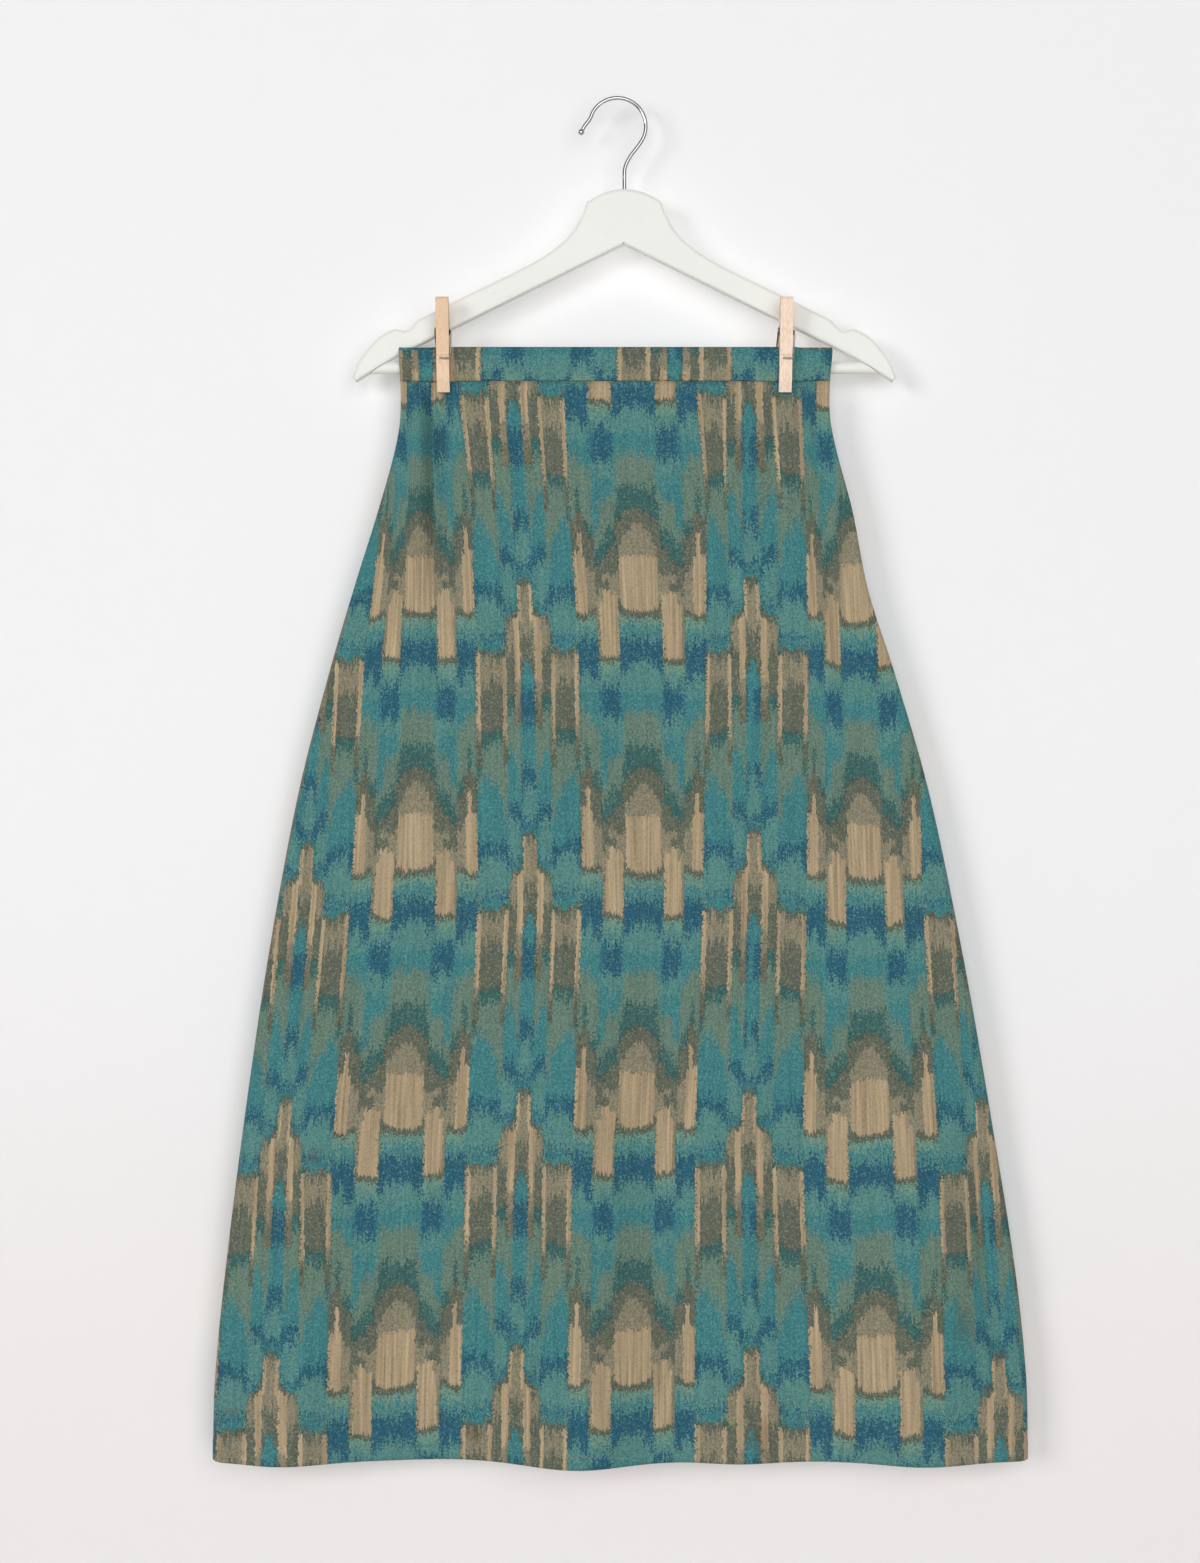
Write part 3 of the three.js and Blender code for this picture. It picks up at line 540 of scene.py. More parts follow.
# Creases: pinches under the pegs, kinks at the edges, crumples at the lower right and soft ones between
FRONT_CREASES = [
    (-162.5, 12, -157, 330, 0.16, -3.2, 5, 9),
    (-152.5, 14, -147, 350, 0.16, 4.8, 4, 7),
    (-164, 20, -150, 50, 0.45, 3.0, 2.6, 3.6),
    (-160, 7, -156, 24, 0.5, 1.6, 2.2, 2.8),
    (-151, 44, -143, 124, 0.3, 2.2, 3.6, 5),
    (-167, 52, -158, 112, 0.4, -1.6, 4, 5),
    (136, 4, 139, 24, 0.5, 1.5, 2.4, 3),
    (140, 28, 147, 104, 0.35, 2.2, 3.4, 4.8),
    (152, 60, 156, 128, 0.4, -1.3, 4, 5),
    (118, 34, 112, 110, 0.4, 1.3, 5, 7),
    (-128, 36, -120, 120, 0.4, 1.4, 5, 8),
    (165, 140, 176, 300, 0.5, 5.0, 6, 8),
    (172, 330, 182, 452, 0.5, 3.4, 7, 9),
    (-202, 186, -221, 230, 0.5, 3.2, 3, 4.5),
    (-214, 250, -230, 290, 0.5, 2.8, 3, 4),
    (210, 230, 184, 270, 0.4, 3.0, 4, 5),
    (225, 270, 196, 316, 0.35, 2.8, 4, 5),
    (297, 734, 307, 786, 0.5, 3.0, 4, 5),
    (304, 758, 290, 810, 0.5, 2.4, 4, 5),
    (286, 590, 297, 694, 0.4, 2.2, 5, 7),
    (-280, 812, -318, 854, 0.5, 2.4, 5, 7),
    (-206, 420, -214, 640, 0.5, 2.2, 8, 12),
    (-86, 160, -92, 420, 0.4, 1.8, 10, 14),
    (20, 240, 26, 520, 0.5, 2.0, 12, 16),
    (96, 170, 108, 330, 0.5, -1.8, 9, 12),
    (138, 520, 152, 812, 0.5, 2.4, 9, 13),
    (-178, 690, -188, 868, 0.6, 2.0, 8, 12),
]
BACK_FOLDS = [
    (-150, 20, -158, 260, 0.3, 4, 12, 20),
    (120, 20, 126, 240, 0.3, 3, 12, 20),
    (-180, 280, -220, 890, 0.99, 6, 40, 52),
    (-40, 220, -62, 890, 0.99, -7, 44, 60),
    (60, 240, 84, 890, 0.99, 7, 46, 54),
    (170, 320, 206, 890, 0.99, -5, 36, 46),
]
BACK_CREASES = [
    (-158, 26, -149, 60, 0.4, -1.2, 3, 4),
    (134, 26, 141, 72, 0.4, -1.0, 3, 4.4),
    (-112, 60, -120, 190, 0.4, -0.9, 7, 10),
    (92, 70, 98, 210, 0.4, -0.9, 7, 10),
    (-216, 210, -192, 246, 0.4, -1.4, 4, 6),
    (206, 254, 182, 296, 0.4, -1.4, 4, 6),
    (-110, 380, -122, 700, 0.5, -1.5, 12, 16),
    (128, 430, 142, 760, 0.5, -1.4, 12, 15),
    (10, 520, 4, 820, 0.5, -1.3, 11, 15),
    (-276, 640, -288, 850, 0.5, -1.4, 8, 11),
    (268, 610, 280, 840, 0.5, -1.4, 8, 11),
]
# Darts: where each starts across, and how it leans
DARTS = ((-78.7, -0.02), (99, 0.02))
DART_FOOT = 148
DART_FADE = 30
DART_DEEP = 0.45
DART_WIDE = 1.9
PUCKER_EVERY = 15
PUCKER_DEEP = 0.35
PUCKER_WIDE = 9


def smooth(t):
    """A soft step from 0 to 1."""
    k = np.clip(t, 0, 1)
    return k * k * (3 - 2 * k)


def outline_at(down, side):
    """A smooth line through the outline's rows: side 1 is the left edge, 2 the right."""
    rows = np.array(OUTLINE, dtype=float)
    heights = rows[:, 0]
    spots = rows[:, side]
    slopes = np.gradient(spots, heights)
    slopes[1:-1] = (spots[2:] - spots[:-2]) / (heights[2:] - heights[:-2])
    slopes[0] = 0
    slopes[-1] = 0
    i = np.clip(np.searchsorted(heights, down, side="right") - 1, 0, len(heights) - 2)
    span = heights[i + 1] - heights[i]
    t = np.clip((down - heights[i]) / span, 0, 1)
    first = (2 * t**3 - 3 * t**2 + 1) * spots[i] + (t**3 - 2 * t**2 + t) * slopes[i] * span
    return first + (3 * t**2 - 2 * t**3) * spots[i + 1] + (t**3 - t**2) * slopes[i + 1] * span


def fold_push(folds, x, down):
    """How far a list of folds or creases pushes the cloth back."""
    push = 0 * x
    for x0, d0, x1, d1, peak, deep, wide0, wide1 in folds:
        along = (down - d0) / (d1 - d0)
        rise = smooth(along / peak) * smooth((1 - along) / (1 - peak))
        wide = wide0 + (wide1 - wide0) * np.clip(along, 0, 1)
        away = (x - x0 - (x1 - x0) * along) / wide
        push = push + deep * rise * np.exp(-(away**2))
    return push


def dart_push(x, down):
    """The sewn line of each waist dart lies a little deeper than the cloth beside it."""
    push = 0 * x
    for across, lean in DARTS:
        away = x - across - lean * (down - BAND_DEEP)
        push = push + DART_DEEP * np.exp(-((away / DART_WIDE) ** 2))
    return push * smooth((down - BAND_DEEP) / 3) * smooth((DART_FOOT - down) / DART_FADE)


def pucker(x, down):
    """The zip's stitching draws the right edge up in small even waves."""
    near = np.exp(-(((x - outline_at(down, 2)) / PUCKER_WIDE) ** 2))
    beside = smooth((down - BAND_DEEP) / 6) * smooth((ZIP_LONG + ZIP_EASE / 2 - down) / ZIP_EASE)
    return PUCKER_DEEP * near * beside * np.sin(2 * math.pi * down / PUCKER_EVERY)


def jaw_push(x, down):
    """How far the pegs' jaws press both layers back below the bar."""
    below = down - BAR_DOWN
    press = JAW_SLOPE * np.minimum(below, JAW_DOWN) + GAP
    fall = 1 - smooth((below - JAW_DOWN) / JAW_FADE)
    spread = JAW_SPREAD * (1 + np.maximum(0, below) / JAW_SPREAD_DOWN)
    push = 0 * x
    for across in PEG_ACROSS:
        beside = np.maximum(0, np.abs(x - across) - JAW_HALF) / spread
        push = np.maximum(push, press * np.exp(-(beside**2)))
    return np.where(below > 0, push * fall * smooth(below / 3), 0)


def zip_push(x, down):
    """How far the zip keeps the front off the back."""
    past_zip = smooth((down - ZIP_LONG) / ZIP_PUSH_FADE)
    return ZIP_PUSH * smooth((x - ZIP_PUSH_FROM) / ZIP_PUSH_WIDE) * (1 - past_zip)


def flare(down):
    """The share of the hem's flare at a height."""
    return (np.maximum(0, down - BAND_DEEP) / (HEM_DOWN - BAND_DEEP)) ** FLARE_CURVE


def front_depth(x, down):
    """How far back the front's middle lies, once folds, jaws, zip, darts and stitching have moved it."""
    flat = FRONT_Y - BAND_LEAN * np.maximum(0, BAR_DOWN - down) - FRONT_FLARE * flare(down)
    folds = fold_push(FRONT_FOLDS + FRONT_CREASES, x, down)
    return flat + folds + jaw_push(x, down) - zip_push(x, down) + dart_push(x, down) + pucker(x, down)


def back_depth(x, down):
    """The back hangs free, and the front pushes it back where the two would meet."""
    flat = BACK_Y - BAND_LEAN * np.maximum(0, BAR_DOWN - down) + BACK_FLARE * flare(down)
    folds = fold_push(BACK_FOLDS + BACK_CREASES, x, down)
    free = flat + folds + jaw_push(x, down) - dart_push(x, down) - pucker(x, down)
    slope = (front_depth(x + 1, down) - front_depth(x - 1, down)) / 2
    pushed = front_depth(x, down) + LAYER_SPACE * np.hypot(1, slope)
    return pushed + (free - pushed + np.hypot(free - pushed, GAP)) / 2


def seam_turn(depth, facing, down, edge, inward, slot):
    """The bend of one layer's edge into a side seam: its end, its radius, its start and its rise."""
    end = (front_depth(edge, down) + back_depth(edge, down)) / 2 + facing * slot / 2
    radius = np.abs(depth(edge, down) - end)
    start = edge + inward * radius
    return end, radius, start, depth(start, down) - end


def cloth_line(depth, facing, share, down, thick):
    """Across and depth of the cloth's middle at a share of the way from the left seam to the right one."""
    half = thick / 2
    zip_slot = (ZIP_THICK + GAP) * (1 - smooth((down - ZIP_LONG - ZIP_EASE) / ZIP_EASE))
    turns = (
        seam_turn(depth, facing, down, outline_at(down, 1) + half, 1, GAP),
        seam_turn(depth, facing, down, outline_at(down, 2) - half, -1, GAP + zip_slot),
    )
    inner = np.clip((share - EDGE_SHARE) / (1 - 2 * EDGE_SHARE), 0, 1)
    x = turns[0][2] + (turns[1][2] - turns[0][2]) * inner
    y = depth(x, down)
    nears = (share / EDGE_SHARE, (1 - share) / EDGE_SHARE)
    for inward, (end, radius, start, rise), near in zip((1, -1), turns, nears):
        angle = np.clip(near, 0, 1) * math.pi / 2
        x = np.where(near < 1, start - inward * radius * np.cos(angle), x)
        y = np.where(near < 1, end + rise * np.sin(angle), y)
    return x, y


# Where lines of the pattern run down the hung front, read off the picture: each column is one line,
# named by its place in half repeats from the middle dome, and each row starts with the picture's own height
PHOTO_STEP = 0.79
PHOTO_MIDDLE = (600, 781.5)
PHOTO_DEPTH = 1700
DOME_FOOT = 615
HALF_PIXELS = 114.7
LINE_PLACES = (
    (-3, -2.807, -2.553, -2, -1.447, -1.193, -1, -0.807, -0.553, 0)
    + (0.553, 0.807, 1, 1.193, 1.447, 2, 2.553, 2.807, 3)
)
WARP_LINES = [
    (397, 352, 366, 386, 417, 459.8, 488.4, 511.9, 536.9, 563.6, 634)
    + (697, 726.5, 748.3, 770.9, 801.2, 844, 905, 932, 950),
    (497, 346, 360, 384, 418, 471.5, 495.7, 519, 544.2, 568.4, 635)
    + (706.6, 726.5, 749, 778, 804.8, 850, 911, 940, 960),
    (655, 318, 335.6, 364.5, 418, 476.3, 506.6, 527, 551.4, 578, 641)
    + (707, 731, 752.5, 778, 808, 857, 918, 947, 968),
    (900, 305, 324, 350, 414.5, 478.5, 509.8, 530.4, 552.4, 581.7, 645)
    + (703.3, 733.9, 754, 777.3, 806, 866, 922.6, 953.2, 974),
    (1150, 282.6, 301, 331.6, 402, 466.3, 498.4, 523, 542.8, 572, 634.5)
    + (695.5, 726, 748, 771.5, 802, 871, 939, 966, 982),
    (1400, 268.6, 298.6, 326.4, 394, 461.7, 492.3, 515.7, 540.4, 566.7, 632)
    + (695.5, 727, 752, 778.5, 809.7, 878, 945.4, 978, 1000.7),
]
# The pattern hangs lower towards both sides, in pixels: by how much, where that starts and how far it takes
SIDE_DROP = 8
LEFT_DROP = (420, 100)
RIGHT_DROP = (760, 110)
# Slight waves of the pattern, in pixels: how high, and the steps across and down that turn them
WAVES = ((1.5, 31, 170), (1.2, 13, -90))
# Where the back's cloth was cut: the pattern's place at its middle, and the height of a dome's foot
BACK_PLACE = 0.3
BACK_DOME_DOWN = 143


def picture_spot(x, y, down):
    """Where a spot of the cloth is seen in the picture."""
    step = PHOTO_STEP * (1 + (y - FRONT_Y) / PHOTO_DEPTH)
    pixel = PHOTO_MIDDLE[0] + (x + HANGER_X - CAMERA_SPOT[0] * 1000) / step
    return pixel, PHOTO_MIDDLE[1] + (down - BAND_TOP + CAMERA_SPOT[2] * 1000) / step


def front_warp(x, y, down):
    """A spot of the hung front on the flat cloth: half repeats across, and metres along the warp."""
    pixel, height = picture_spot(x, y, down)
    rows = np.array(WARP_LINES, dtype=float)
    lines = np.array([np.interp(height, rows[:, 0], rows[:, k]) for k in range(1, rows.shape[1])])
    lines = np.vstack((lines[:1] - HALF_PIXELS, lines, lines[-1:] + HALF_PIXELS))
    places = (LINE_PLACES[0] - 1,) + LINE_PLACES + (LINE_PLACES[-1] + 1,)
    place = 0 * pixel
    for k in range(len(places) - 1):
        share = (pixel - lines[k]) / (lines[k + 1] - lines[k])
        here = places[k] + (places[k + 1] - places[k]) * share
        place = np.where(pixel >= lines[k], here, place)
    lower = SIDE_DROP * smooth((LEFT_DROP[0] - pixel) / LEFT_DROP[1])
    lower = lower + SIDE_DROP * smooth((pixel - RIGHT_DROP[0]) / RIGHT_DROP[1])
    for high, over_across, over_down in WAVES:
        lower = lower + high * np.sin(pixel / over_across + height / over_down)
    return place, (height - DOME_FOOT - lower) * PHOTO_STEP / 1000


def back_warp(x, y, down):
    """The back's cloth was cut with the repeat a third further along."""
    return BACK_PLACE - (x + HANGER_X) / 1000 / HALF_REPEAT, (down - BACK_DOME_DOWN) / 1000


def hang_cloth(name, depth, facing, downs, columns, thick, warp_at, lift=None):
    """A grid of cloth moved onto its hung place and made thick, most so at its turned hem.

    It has a flat cloth map for the pattern and an edge map for the seam, both in metres.
    """
    sheet = bmesh.new()
    rows = len(downs) - 1
    bmesh.ops.create_grid(sheet, x_segments=columns, y_segments=rows, size=0.5, calc_uvs=False)
    share = np.array([vert.co.x + 0.5 for vert in sheet.verts])
    step = np.array([(0.5 - vert.co.y) * rows for vert in sheet.verts])
    down = np.interp(step, range(rows + 1), downs)
    x, y = cloth_line(depth, facing, share, down, thick)
    raised = 0 * x if lift is None else lift(x, down)
    for vert, spot in zip(sheet.verts, np.column_stack((x + HANGER_X, y, BAND_TOP - down + raised)) / 1000):
        vert.co = spot
    cloth_uv = sheet.loops.layers.uv.new("cloth")
    edge_uv = sheet.loops.layers.uv.new("edge")
    place, along = warp_at(x, y, down)
    flat_x = place * HALF_REPEAT
    from_left = (x - outline_at(down, 1)) / 1000
    sheet.verts.index_update()
    for patch in sheet.faces:
        for corner in patch.loops:
            k = corner.vert.index
            corner[cloth_uv].uv = (flat_x[k], along[k])
            corner[edge_uv].uv = (from_left[k], down[k] / 1000)
    if facing > 0:
        bmesh.ops.reverse_faces(sheet, faces=sheet.faces)
    made = add_object(name, sheet, rounded=True)
    doubled = made.vertex_groups.new(name="doubled")
    for k in np.flatnonzero(down > HEM_DOWN - HEM_TURN - 1):
        doubled.add([int(k)], 1.0, "REPLACE")
    wall_of_cloth = made.modifiers.new("cloth_thickness", "SOLIDIFY")
    wall_of_cloth.thickness = HEM_CLOTH / 1000
    wall_of_cloth.offset = 0
    wall_of_cloth.vertex_group = "doubled"
    wall_of_cloth.thickness_vertex_group = thick / HEM_CLOTH
    made.data.materials.append(cloth_finish)
    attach(made, "root")
    return made


panel_downs = np.linspace(BAND_DEEP + GAP, HEM_DOWN, PANEL_ROWS)
front_panel = hang_cloth("front_cloth", front_depth, -1, panel_downs, PANEL_COLUMNS, CLOTH, front_warp)
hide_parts("front_panel")

# Back panel. The same cut behind, in the same cloth with the pattern a third of a repeat along. It is joined
# at both side seams and hangs without the front's deep folds.
back_panel = hang_cloth("back_cloth", back_depth, 1, panel_downs, PANEL_COLUMNS, CLOTH, back_warp)
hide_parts("back_panel")

# Waistband. A folded strip of the same cloth, front and back, stiffened inside and cut with the pattern the
# other way up.
BAND_CLOTH = 1.5
BAND_FOOT = 88
BAND_TOP_PIXEL = 346
# Where the pattern's half repeats lie along the front one, as picture pixels
BAND_LINES = ((-2, 305), (-1, 426), (0, 546.8), (1, 675), (2, 800), (3, 925))
BACK_BAND_PLACE = 0.55
BACK_BAND_FOOT = 60
BAND_ROWS = 15
BAND_COLUMNS = 170
# How far the front one's top drops at each end, where that starts across, and over what width
BAND_DROPS = ((2.2, 137, 3), (2.6, -146, -26))


def front_band_warp(x, y, down):
    pixel, height = picture_spot(x, y, down)
    places, lines = zip(*BAND_LINES)
    return np.interp(pixel, lines, places), (BAND_FOOT - (height - BAND_TOP_PIXEL)) * PHOTO_STEP / 1000


def back_band_warp(x, y, down):
    return BACK_BAND_PLACE - (x + HANGER_X) / 1000 / HALF_REPEAT, (BACK_BAND_FOOT - down) / 1000


def front_band_lift(x, down):
    """The front one's top drops a little at both ends, so the back one shows above it at the zip."""
    ends = sum(drop * smooth((x - start) / over) for drop, start, over in BAND_DROPS)
    return -ends * smooth((BAND_DEEP - down) / BAND_DEEP)


band_grid = (np.linspace(0, BAND_DEEP, BAND_ROWS), BAND_COLUMNS)
front_band = hang_cloth(
    "front_band_cloth", front_depth, -1, *band_grid, BAND_CLOTH, front_band_warp, front_band_lift
)
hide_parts("front_waistband")
back_band = hang_cloth("back_band_cloth", back_depth, 1, *band_grid, BAND_CLOTH, back_band_warp)
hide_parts("back_waistband")

# Marks. Wear on the front's lower half: two faint brown stains at the hem, a soft smudge at the left, dark
# smudges along the lower corners' creases that are partly dirt and partly painted crease shade, and a short
# row of small dark snags, each in the cloth's own finish.
MARK_AND_SHADE_BROWN = colour(86, 70, 54)
MARK_THROUGH = 6
MARK_EDGE = 1.5
# Each mark: its place across and down, how wide and tall it is, and its strength
MARKS_AND_CREASE_SHADE = [
    (106, 858, 13, 20, 0.42),
    (-119, 858, 9, 9, 0.4),
    (-243.8, 636, 7, 9, 0.3),
    # Dark smudges in the crumpled lower corners: partly dirt, partly painted shade of their creases
    (266, 768, 12, 19, 0.3),
    (286, 820, 9, 4.5, 0.45),
    (297, 795, 9, 4, 0.35),
    (-308, 838, 11, 4, 0.34),
    (-303, 853, 9, 4, 0.4),
    (139, 648, 0.8, 2.2, 0.7),
    (140, 660, 0.7, 1.6, 0.6),
    (139.4, 672, 0.9, 2.6, 0.7),
]
# The left seam is rolled a little to the front there: its top, foot and width, and the threads that show
ROLLED_SEAM = (
    (205, 520, 2.0, colour(134, 110, 86)),
    (820, 874, 1.6, colour(38, 62, 88)),
)
ROLLED_STRENGTH = 0.75

tree = cloth_finish.node_tree
place = add_node(tree, "ShaderNodeTexCoord")
spots = add_node(tree, "ShaderNodeSeparateXYZ", {0: place.outputs["Object"]})
blotch = noise_at(tree, scale=120, detail=3)
worn_and_shaded = dyed.outputs["Color"]
# Stains, snags and painted crease shade, each darkening the cloth's colour
for x, down, wide, tall, strength in MARKS_AND_CREASE_SHADE:
    depth = float(front_depth(float(x), float(down)))
    far = blotch
    spans = ((x + HANGER_X, wide), (depth, MARK_THROUGH), (BAND_TOP - down, tall))
    for along, (middle, span) in zip(spots.outputs, spans):
        away = calculate(tree, "MULTIPLY_ADD", along, 1000 / span, -middle / span)
        far = calculate(tree, "ADD", far, calculate(tree, "POWER", away, 2))
    near = calculate(tree, "SUBTRACT", MARK_EDGE, far)
    near = calculate(tree, "MINIMUM", calculate(tree, "MAXIMUM", near, 0.0), 1.0)
    worn_and_shaded = mix_colours(tree, calculate(tree, "MULTIPLY", near, strength), worn_and_shaded, MARK_AND_SHADE_BROWN)
edge_map = add_node(tree, "ShaderNodeUVMap", uv_map="edge")
edge = add_node(tree, "ShaderNodeSeparateXYZ", {0: edge_map.outputs[0]})
for top, foot, wide, thread in ROLLED_SEAM:
    rolled = calculate(tree, "LESS_THAN", edge.outputs[0], wide / 1000)
    in_reach = calculate(tree, "COMPARE", edge.outputs[1], (top + foot) / 2000, (foot - top) / 2000)
    rolled = calculate(tree, "MULTIPLY", calculate(tree, "MULTIPLY", rolled, in_reach), ROLLED_STRENGTH)
    worn_and_shaded = mix_colours(tree, rolled, worn_and_shaded, thread)
tree.links.new(worn_and_shaded, cloth_surface.inputs["Base Color"])

# Stitching. Red-brown sewing thread: one row along the foot of the waistband and one that holds the turned
# hem, on the front and on the back.
STITCH_LONG = 2.3
STITCH_THICK = 0.34
STITCH_EVERY = 3.1
STITCH_PROUD = 0.06
# The share of the cloth's width that each row leaves free at an end, and the points that its line is read at
STITCH_FREE = 0.024
STITCH_POINTS = 900
BAND_STITCH_DOWN = 24.6
HEM_STITCH_DOWN = HEM_DOWN - HEM_TURN

thread_finish = new_material("sewing_thread")
tree = thread_finish.node_tree
twist = noise_at(tree, scale=900, detail=2)
thread = mix_colours(tree, twist, colour(112, 80, 66), colour(150, 118, 96))
add_surface(tree, {"Base Color": thread}, {"Roughness": 0.7})


def add_bead(beads, spot, half, turn=0.0):
    """One small oval bead at its spot, both in millimetres, turned about the upright."""
    place = Matrix.Translation(np.divide(spot, 1000)) @ Matrix.Rotation(turn, 4, "Z")
    shape = Matrix.Diagonal((*np.divide(half, 1000), 1))
    bmesh.ops.create_icosphere(beads, subdivisions=1, radius=1, matrix=place @ shape)


def stitch_row(name, depth, facing, down, thick):
    """Small oval stitches half sunk in the cloth's outside, along one height."""
    share = np.linspace(STITCH_FREE, 1 - STITCH_FREE, STITCH_POINTS)
    x, y = cloth_line(depth, facing, share, np.full(share.shape, float(down)), thick)
    run = np.concatenate(([0], np.cumsum(np.hypot(np.diff(x), np.diff(y)))))
    spots = np.arange(STITCH_EVERY, run[-1] - STITCH_EVERY, STITCH_EVERY)
    slope_x = np.interp(spots, run, np.gradient(x, run))
    slope_y = np.interp(spots, run, np.gradient(y, run))
    out = thick / 2 + STITCH_PROUD
    across = np.interp(spots, run, x) - facing * slope_y * out
    deep = np.interp(spots, run, y) + facing * slope_x * out
    half = (STITCH_LONG / 2, STITCH_THICK / 2, STITCH_THICK / 2)
    row = bmesh.new()
    for k in range(len(spots)):
        spot = (across[k] + HANGER_X, deep[k], BAND_TOP - down)
        add_bead(row, spot, half, math.atan2(slope_y[k], slope_x[k]))
    made = add_object(name, row, rounded=True)
    made.data.materials.append(thread_finish)
    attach(made, "root")
    return made


front_band_row = stitch_row("front_band_stitches", front_depth, -1, BAND_STITCH_DOWN, BAND_CLOTH)
back_band_row = stitch_row("back_band_stitches", back_depth, 1, BAND_STITCH_DOWN, BAND_CLOTH)
front_hem_row = stitch_row("front_hem_stitches", front_depth, -1, HEM_STITCH_DOWN, HEM_CLOTH)
back_hem_row = stitch_row("back_hem_stitches", back_depth, 1, HEM_STITCH_DOWN, HEM_CLOTH)

# Side zip. A navy woven tape in the slot of the right side seam, sewn in behind the cloth's edge, with the
# closed nylon coil along its outer edge.
ZIP_WIDE = 9
ZIP_INSET = 0.4
ZIP_TOP = 3
TAPE_THICK = 0.6
COIL_INSET = 0.5
COIL_EVERY = 1.5
COIL_HALF = (0.9, 0.58, 0.5)

tape_finish = new_material("zip_tape")
tree = tape_finish.node_tree
tape_weave = noise_at(tree, scale=1400, detail=1, stretch=(1, 1, 3))
tape_weave = bump(tree, tape_weave, strength=0.4, distance=0.0002)
navy = mix_colours(tree, noise_at(tree, scale=300, detail=2), colour(22, 46, 68), colour(38, 66, 88))
add_surface(tree, {"Base Color": navy, "Normal": tape_weave}, {"Roughness": 0.75})

tape = bmesh.new()
bmesh.ops.create_grid(tape, x_segments=3, y_segments=60, size=0.5)
for vert in tape.verts:
    down = ZIP_TOP + (ZIP_LONG - ZIP_TOP) * (0.5 - vert.co.y)
    x = float(outline_at(down, 2)) - ZIP_INSET - ZIP_WIDE * (0.5 - vert.co.x)
    middle = (front_depth(x, down) + back_depth(x, down)) / 2
    vert.co = ((x + HANGER_X) / 1000, float(middle) / 1000, (BAND_TOP - down) / 1000)
zip_tape = add_object("zip_tape", tape, rounded=True)
tape_wall = zip_tape.modifiers.new("tape_thickness", "SOLIDIFY")
tape_wall.thickness = TAPE_THICK / 1000
tape_wall.offset = 0
zip_tape.data.materials.append(tape_finish)
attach(zip_tape, "root")
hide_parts("side_zip")

coil = bmesh.new()
for down in np.arange(ZIP_TOP + 1, ZIP_LONG - 1, COIL_EVERY):
    x = float(outline_at(down, 2)) - ZIP_INSET - COIL_INSET
    middle = float(front_depth(x, down) + back_depth(x, down)) / 2
    add_bead(coil, (x + HANGER_X, middle, BAND_TOP - down), COIL_HALF)
zip_coil = add_object("zip_coil", coil, rounded=True)
zip_coil.data.materials.append(tape_finish)
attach(zip_coil, "root")

# Hanger board and bar. Beech sprayed warm white, satin, a little uneven, with edges that the CAD already
# rounds, and one small hole at the top of the arch drawn as a dark disc of painted shade.
HOLE_SPOT = (0.0052, -0.0048, -0.1152)
HOLE_RADIUS = 0.0012
SCUFF_LEVEL = 0.68
SCUFF_STRENGTH = 0.35

paint = new_material("hanger_paint")
tree = paint.node_tree
place = add_node(tree, "ShaderNodeTexCoord")
from_hole = add_node(
    tree,
    "ShaderNodeVectorMath",
    {0: place.outputs["Object"]},
    {1: HOLE_SPOT},
    operation="DISTANCE",
)
# Painted shade: a small dark disc stands for the shaded inside of the hole at the top of the arch
hole_shade = calculate(tree, "LESS_THAN", from_hole.outputs["Value"], HOLE_RADIUS)
white = mix_colours(tree, noise_at(tree, scale=14, detail=4), colour(229, 229, 223), colour(237, 237, 232))
scuffed = noise_at(tree, scale=160, detail=6, stretch=(1, 1, 2.4))
scuffed = calculate(tree, "MULTIPLY", calculate(tree, "GREATER_THAN", scuffed, SCUFF_LEVEL), SCUFF_STRENGTH)
white = mix_colours(tree, scuffed, white, colour(214, 208, 196))
white = mix_colours(tree, hole_shade, white, colour(82, 66, 54))
soft_edge = add_node(tree, "ShaderNodeBevel", None, {"Radius": 0.0012}, samples=4).outputs[0]
brush = noise_at(tree, scale=220, detail=3, stretch=(0.2, 1, 1))
sheen = follow(tree, noise_at(tree, scale=40, detail=3), at_0=0.36, at_1=0.56)
brushed = bump(tree, brush, strength=0.08, distance=0.0004, normal=soft_edge)
add_surface(tree, {"Base Color": white, "Normal": brushed, "Roughness": sheen}, {"Specular IOR Level": 0.4})


def finish_node(name, material):
    """A CAD node keeps its shape and gets a better finish."""
    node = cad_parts[name]
    node.data.materials.clear()
    node.data.materials.append(material)


finish_node("hanger_board", paint)
finish_node("hanger_bar", paint)

# Hook. Chromed steel wire of 3.2 mm, bent to most of a circle with an outward flick and a ball at its tip.
# Its shank goes down into the board.
WIRE_RADIUS = 1.6
HOOK_RADIUS = 22.5
HOOK_TIP_RADIUS = 2.5
HOOK_FLICK = ((-34.3, -25.5), (-31.4, -20.3))
HOOK_ANGLES = np.linspace(164, -38, 15)
HOOK_SHANK = ((3.8, -46.2), (0.4, -54), (0, -64), (0, -91.3))

chrome = new_material("hook_wire")
tree = chrome.node_tree
hairlines = bump(tree, noise_at(tree, scale=500, detail=3), strength=0.03, distance=0.0002)
silver = mix_colours(tree, noise_at(tree, scale=60, detail=3), colour(158, 160, 164), colour(196, 198, 202))
polish = follow(tree, noise_at(tree, scale=120, detail=2), at_0=0.05, at_1=0.15)
add_surface(tree, {"Base Color": silver, "Normal": hairlines, "Roughness": polish}, {"Metallic": 1.0})


